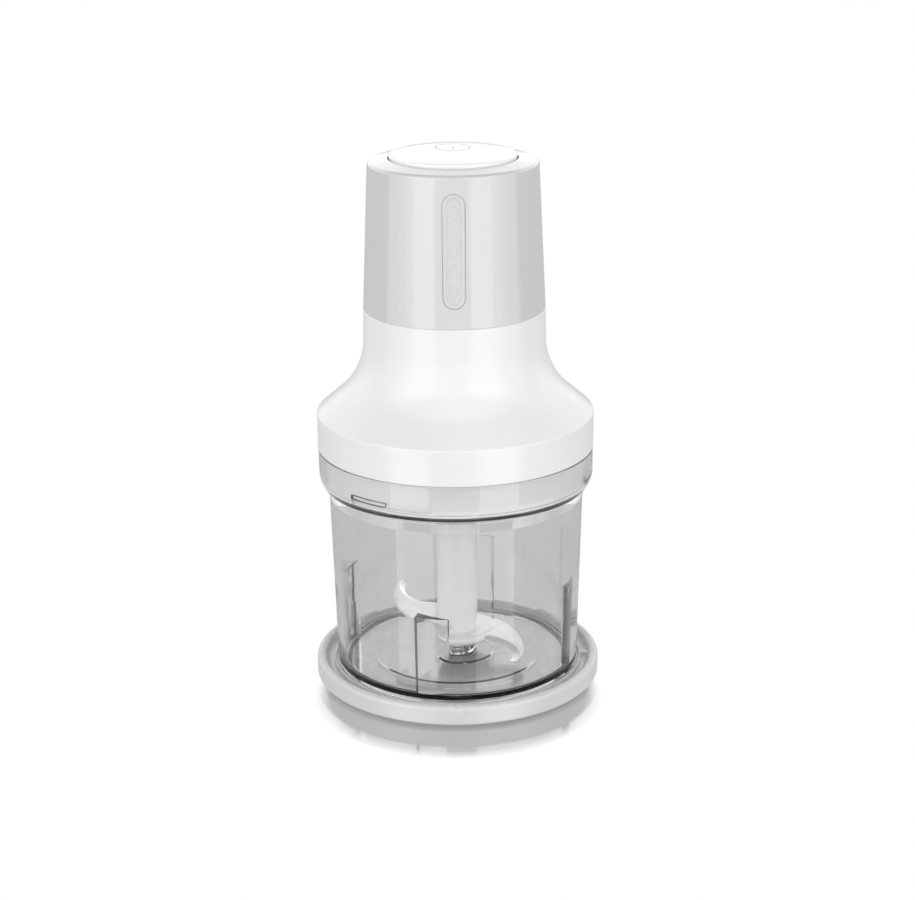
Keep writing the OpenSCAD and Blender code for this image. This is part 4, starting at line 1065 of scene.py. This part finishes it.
def studio_world():
    """White backdrop for the camera. What lights the object is softer: a grey table below, a bright
    backdrop above it and a dim room in front."""
    world = bpy.data.worlds.new("studio")
    scene.world = world
    world.use_nodes = True
    tree = world.node_tree

    def ranged(value, start, end, to_start, to_end):
        level = tree.nodes.new("ShaderNodeMapRange")
        level.interpolation_type = "SMOOTHSTEP"
        for socket, number in zip(level.inputs[1:5], (start, end, to_start, to_end)):
            if isinstance(number, float):
                socket.default_value = number
            else:
                tree.links.new(number, socket)
        tree.links.new(value, level.inputs[0])
        return level.outputs[0]

    parts = tree.nodes.new("ShaderNodeSeparateXYZ")
    tree.links.new(tree.nodes.new("ShaderNodeTexCoord").outputs["Generated"], parts.inputs[0])
    behind = ranged(parts.outputs["Y"], -0.2, 0.5, ROOM_LEVEL, BACKDROP_LEVEL)
    above = ranged(parts.outputs["Z"], 0.52, 0.76, behind, CEILING_LEVEL)
    around = ranged(parts.outputs["Z"], -0.05, 0.12, TABLE_LEVEL, above)
    camera_ray = tree.nodes.new("ShaderNodeLightPath").outputs["Is Camera Ray"]
    background = tree.nodes["Background"]
    background.inputs["Color"].default_value = (1, 1, 1, 1)
    tree.links.new(ranged(camera_ray, 0.0, 1.0, around, 1.0), background.inputs["Strength"])


def towards(turn, elevation):
    """Direction from the object to an azimuth and an elevation, in degrees."""
    e = math.radians(elevation)
    return Vector((*polar(math.cos(e), azimuth(turn)), math.sin(e)))


def softbox(name, turn, span, low_e, high_e, level, inside=False):
    """Softbox that shows in the gloss, over a span of azimuth between two elevations. One with
    inside set also shines through the clear bowl."""
    height = 2 * SOFTBOX_DISTANCE * math.tan(math.radians((high_e - low_e) / 2))
    width = 2 * SOFTBOX_DISTANCE * math.tan(math.radians(span / 2))
    lamp = bpy.data.lights.new(name, "AREA")
    lamp.shape = "RECTANGLE"
    lamp.size, lamp.size_y = width, height
    lamp.energy = level * math.pi * width * height
    made = in_scene(name, lamp)
    out = towards(turn, (low_e + high_e) / 2)
    made.location = Vector((0, 0, 0.13)) + out * SOFTBOX_DISTANCE
    made.rotation_euler = out.to_track_quat("Z", "Y").to_euler()
    made.visible_camera = False
    made.visible_diffuse = False
    made.visible_transmission = inside


def soft_sun(name, turn, elevation, level):
    """Broad even light from an azimuth and an elevation, which leaves the gloss alone."""
    lamp = bpy.data.lights.new(name, "SUN")
    lamp.energy = level * math.pi
    lamp.angle = math.radians(70)
    made = in_scene(name, lamp)
    made.rotation_euler = towards(turn, elevation).to_track_quat("Z", "Y").to_euler()
    made.visible_glossy = False
    made.visible_transmission = False


def studio_floor():
    """White floor, polished where it mirrors the foot of the object."""
    bm = bmesh.new()
    bmesh.ops.create_grid(bm, x_segments=1, y_segments=1, size=12)
    mesh = bpy.data.meshes.new("floor")
    bm.to_mesh(mesh)
    bm.free()
    floor = in_scene("floor", mesh)
    floor.location.z = -0.0002
    n = Nodes("white_floor")
    for key, value in (("Base Color", (0.33, 0.33, 0.33, 1)), ("Metallic", 1.0), ("Roughness", 0.1),
                       ("Emission Color", (1, 1, 1, 1)), ("Emission Strength", 0.23)):
        n.shader.inputs[key].default_value = value
    plain = n.add("ShaderNodeEmission")
    away = n.add("ShaderNodeVectorMath", operation="DISTANCE")
    away.inputs[1].default_value = (0, -0.0285, 0)
    n.link(n.place, away.inputs[0])
    mixed = n.add("ShaderNodeMixShader")
    n.link(n.ranged(away.outputs["Value"], 0.056, 0.063, 1, 0), mixed.inputs[0])
    n.link(plain.outputs[0], mixed.inputs[1])
    n.link(n.shader.outputs[0], mixed.inputs[2])
    n.link(mixed.outputs[0], n.output.inputs["Surface"])
    mesh.materials.append(n.material)
    floor.visible_diffuse = floor.visible_glossy = floor.visible_transmission = False
    floor.visible_shadow = False


def camera():
    """Camera at the photograph's angle: in front, looking down, with a slight roll."""
    pitch, yaw, roll = (math.radians(d) for d in CAMERA_TURN)
    ahead = Vector((math.sin(yaw) * math.cos(pitch), math.cos(yaw) * math.cos(pitch), -math.sin(pitch)))
    level = ahead.cross(Vector((0, 0, 1))).normalized()
    right = math.cos(roll) * level + math.sin(roll) * level.cross(ahead)
    up = right.cross(ahead)
    lens = bpy.data.cameras.new("camera")
    lens.lens = 84.2
    lens.sensor_width = 36
    made = in_scene("camera", lens)
    axes = Matrix((right, up, -ahead)).transposed().to_4x4()
    made.matrix_world = Matrix.Translation(CAMERA_AT) @ axes
    scene.camera = made


studio_world()
softbox("softbox_left", -38.5, 31, -16, 35, 2.55)
softbox("softbox_middle", -2, 42, -16, 35, 1.35, inside=True)
softbox("softbox_right", 35, 32, -16, 35, 2.4)
softbox("softbox_top", -1.5, 110, 35, 75, 0.95, inside=True)
for side in (-1, 1):
    softbox("softbox_edge", side * 57.5 - 1.5, 10, -16, 35, 1.7, inside=True)
    softbox("softbox_side", side * 68.5 - 1.5, 12, -16, 35, 1.25, inside=True)
    softbox("softbox_far", side * 82.5 - 1.5, 16, -16, 35, 0.9, inside=True)
    softbox("softbox_low", side * 37 - 1.5, 32, -50, -16, 1.8)
    soft_sun("sun_side", side * 50, 8, 0.33)
soft_sun("sun_front", 0, 48, 0.22)
studio_floor()
camera()
scene.view_settings.view_transform = "Standard"
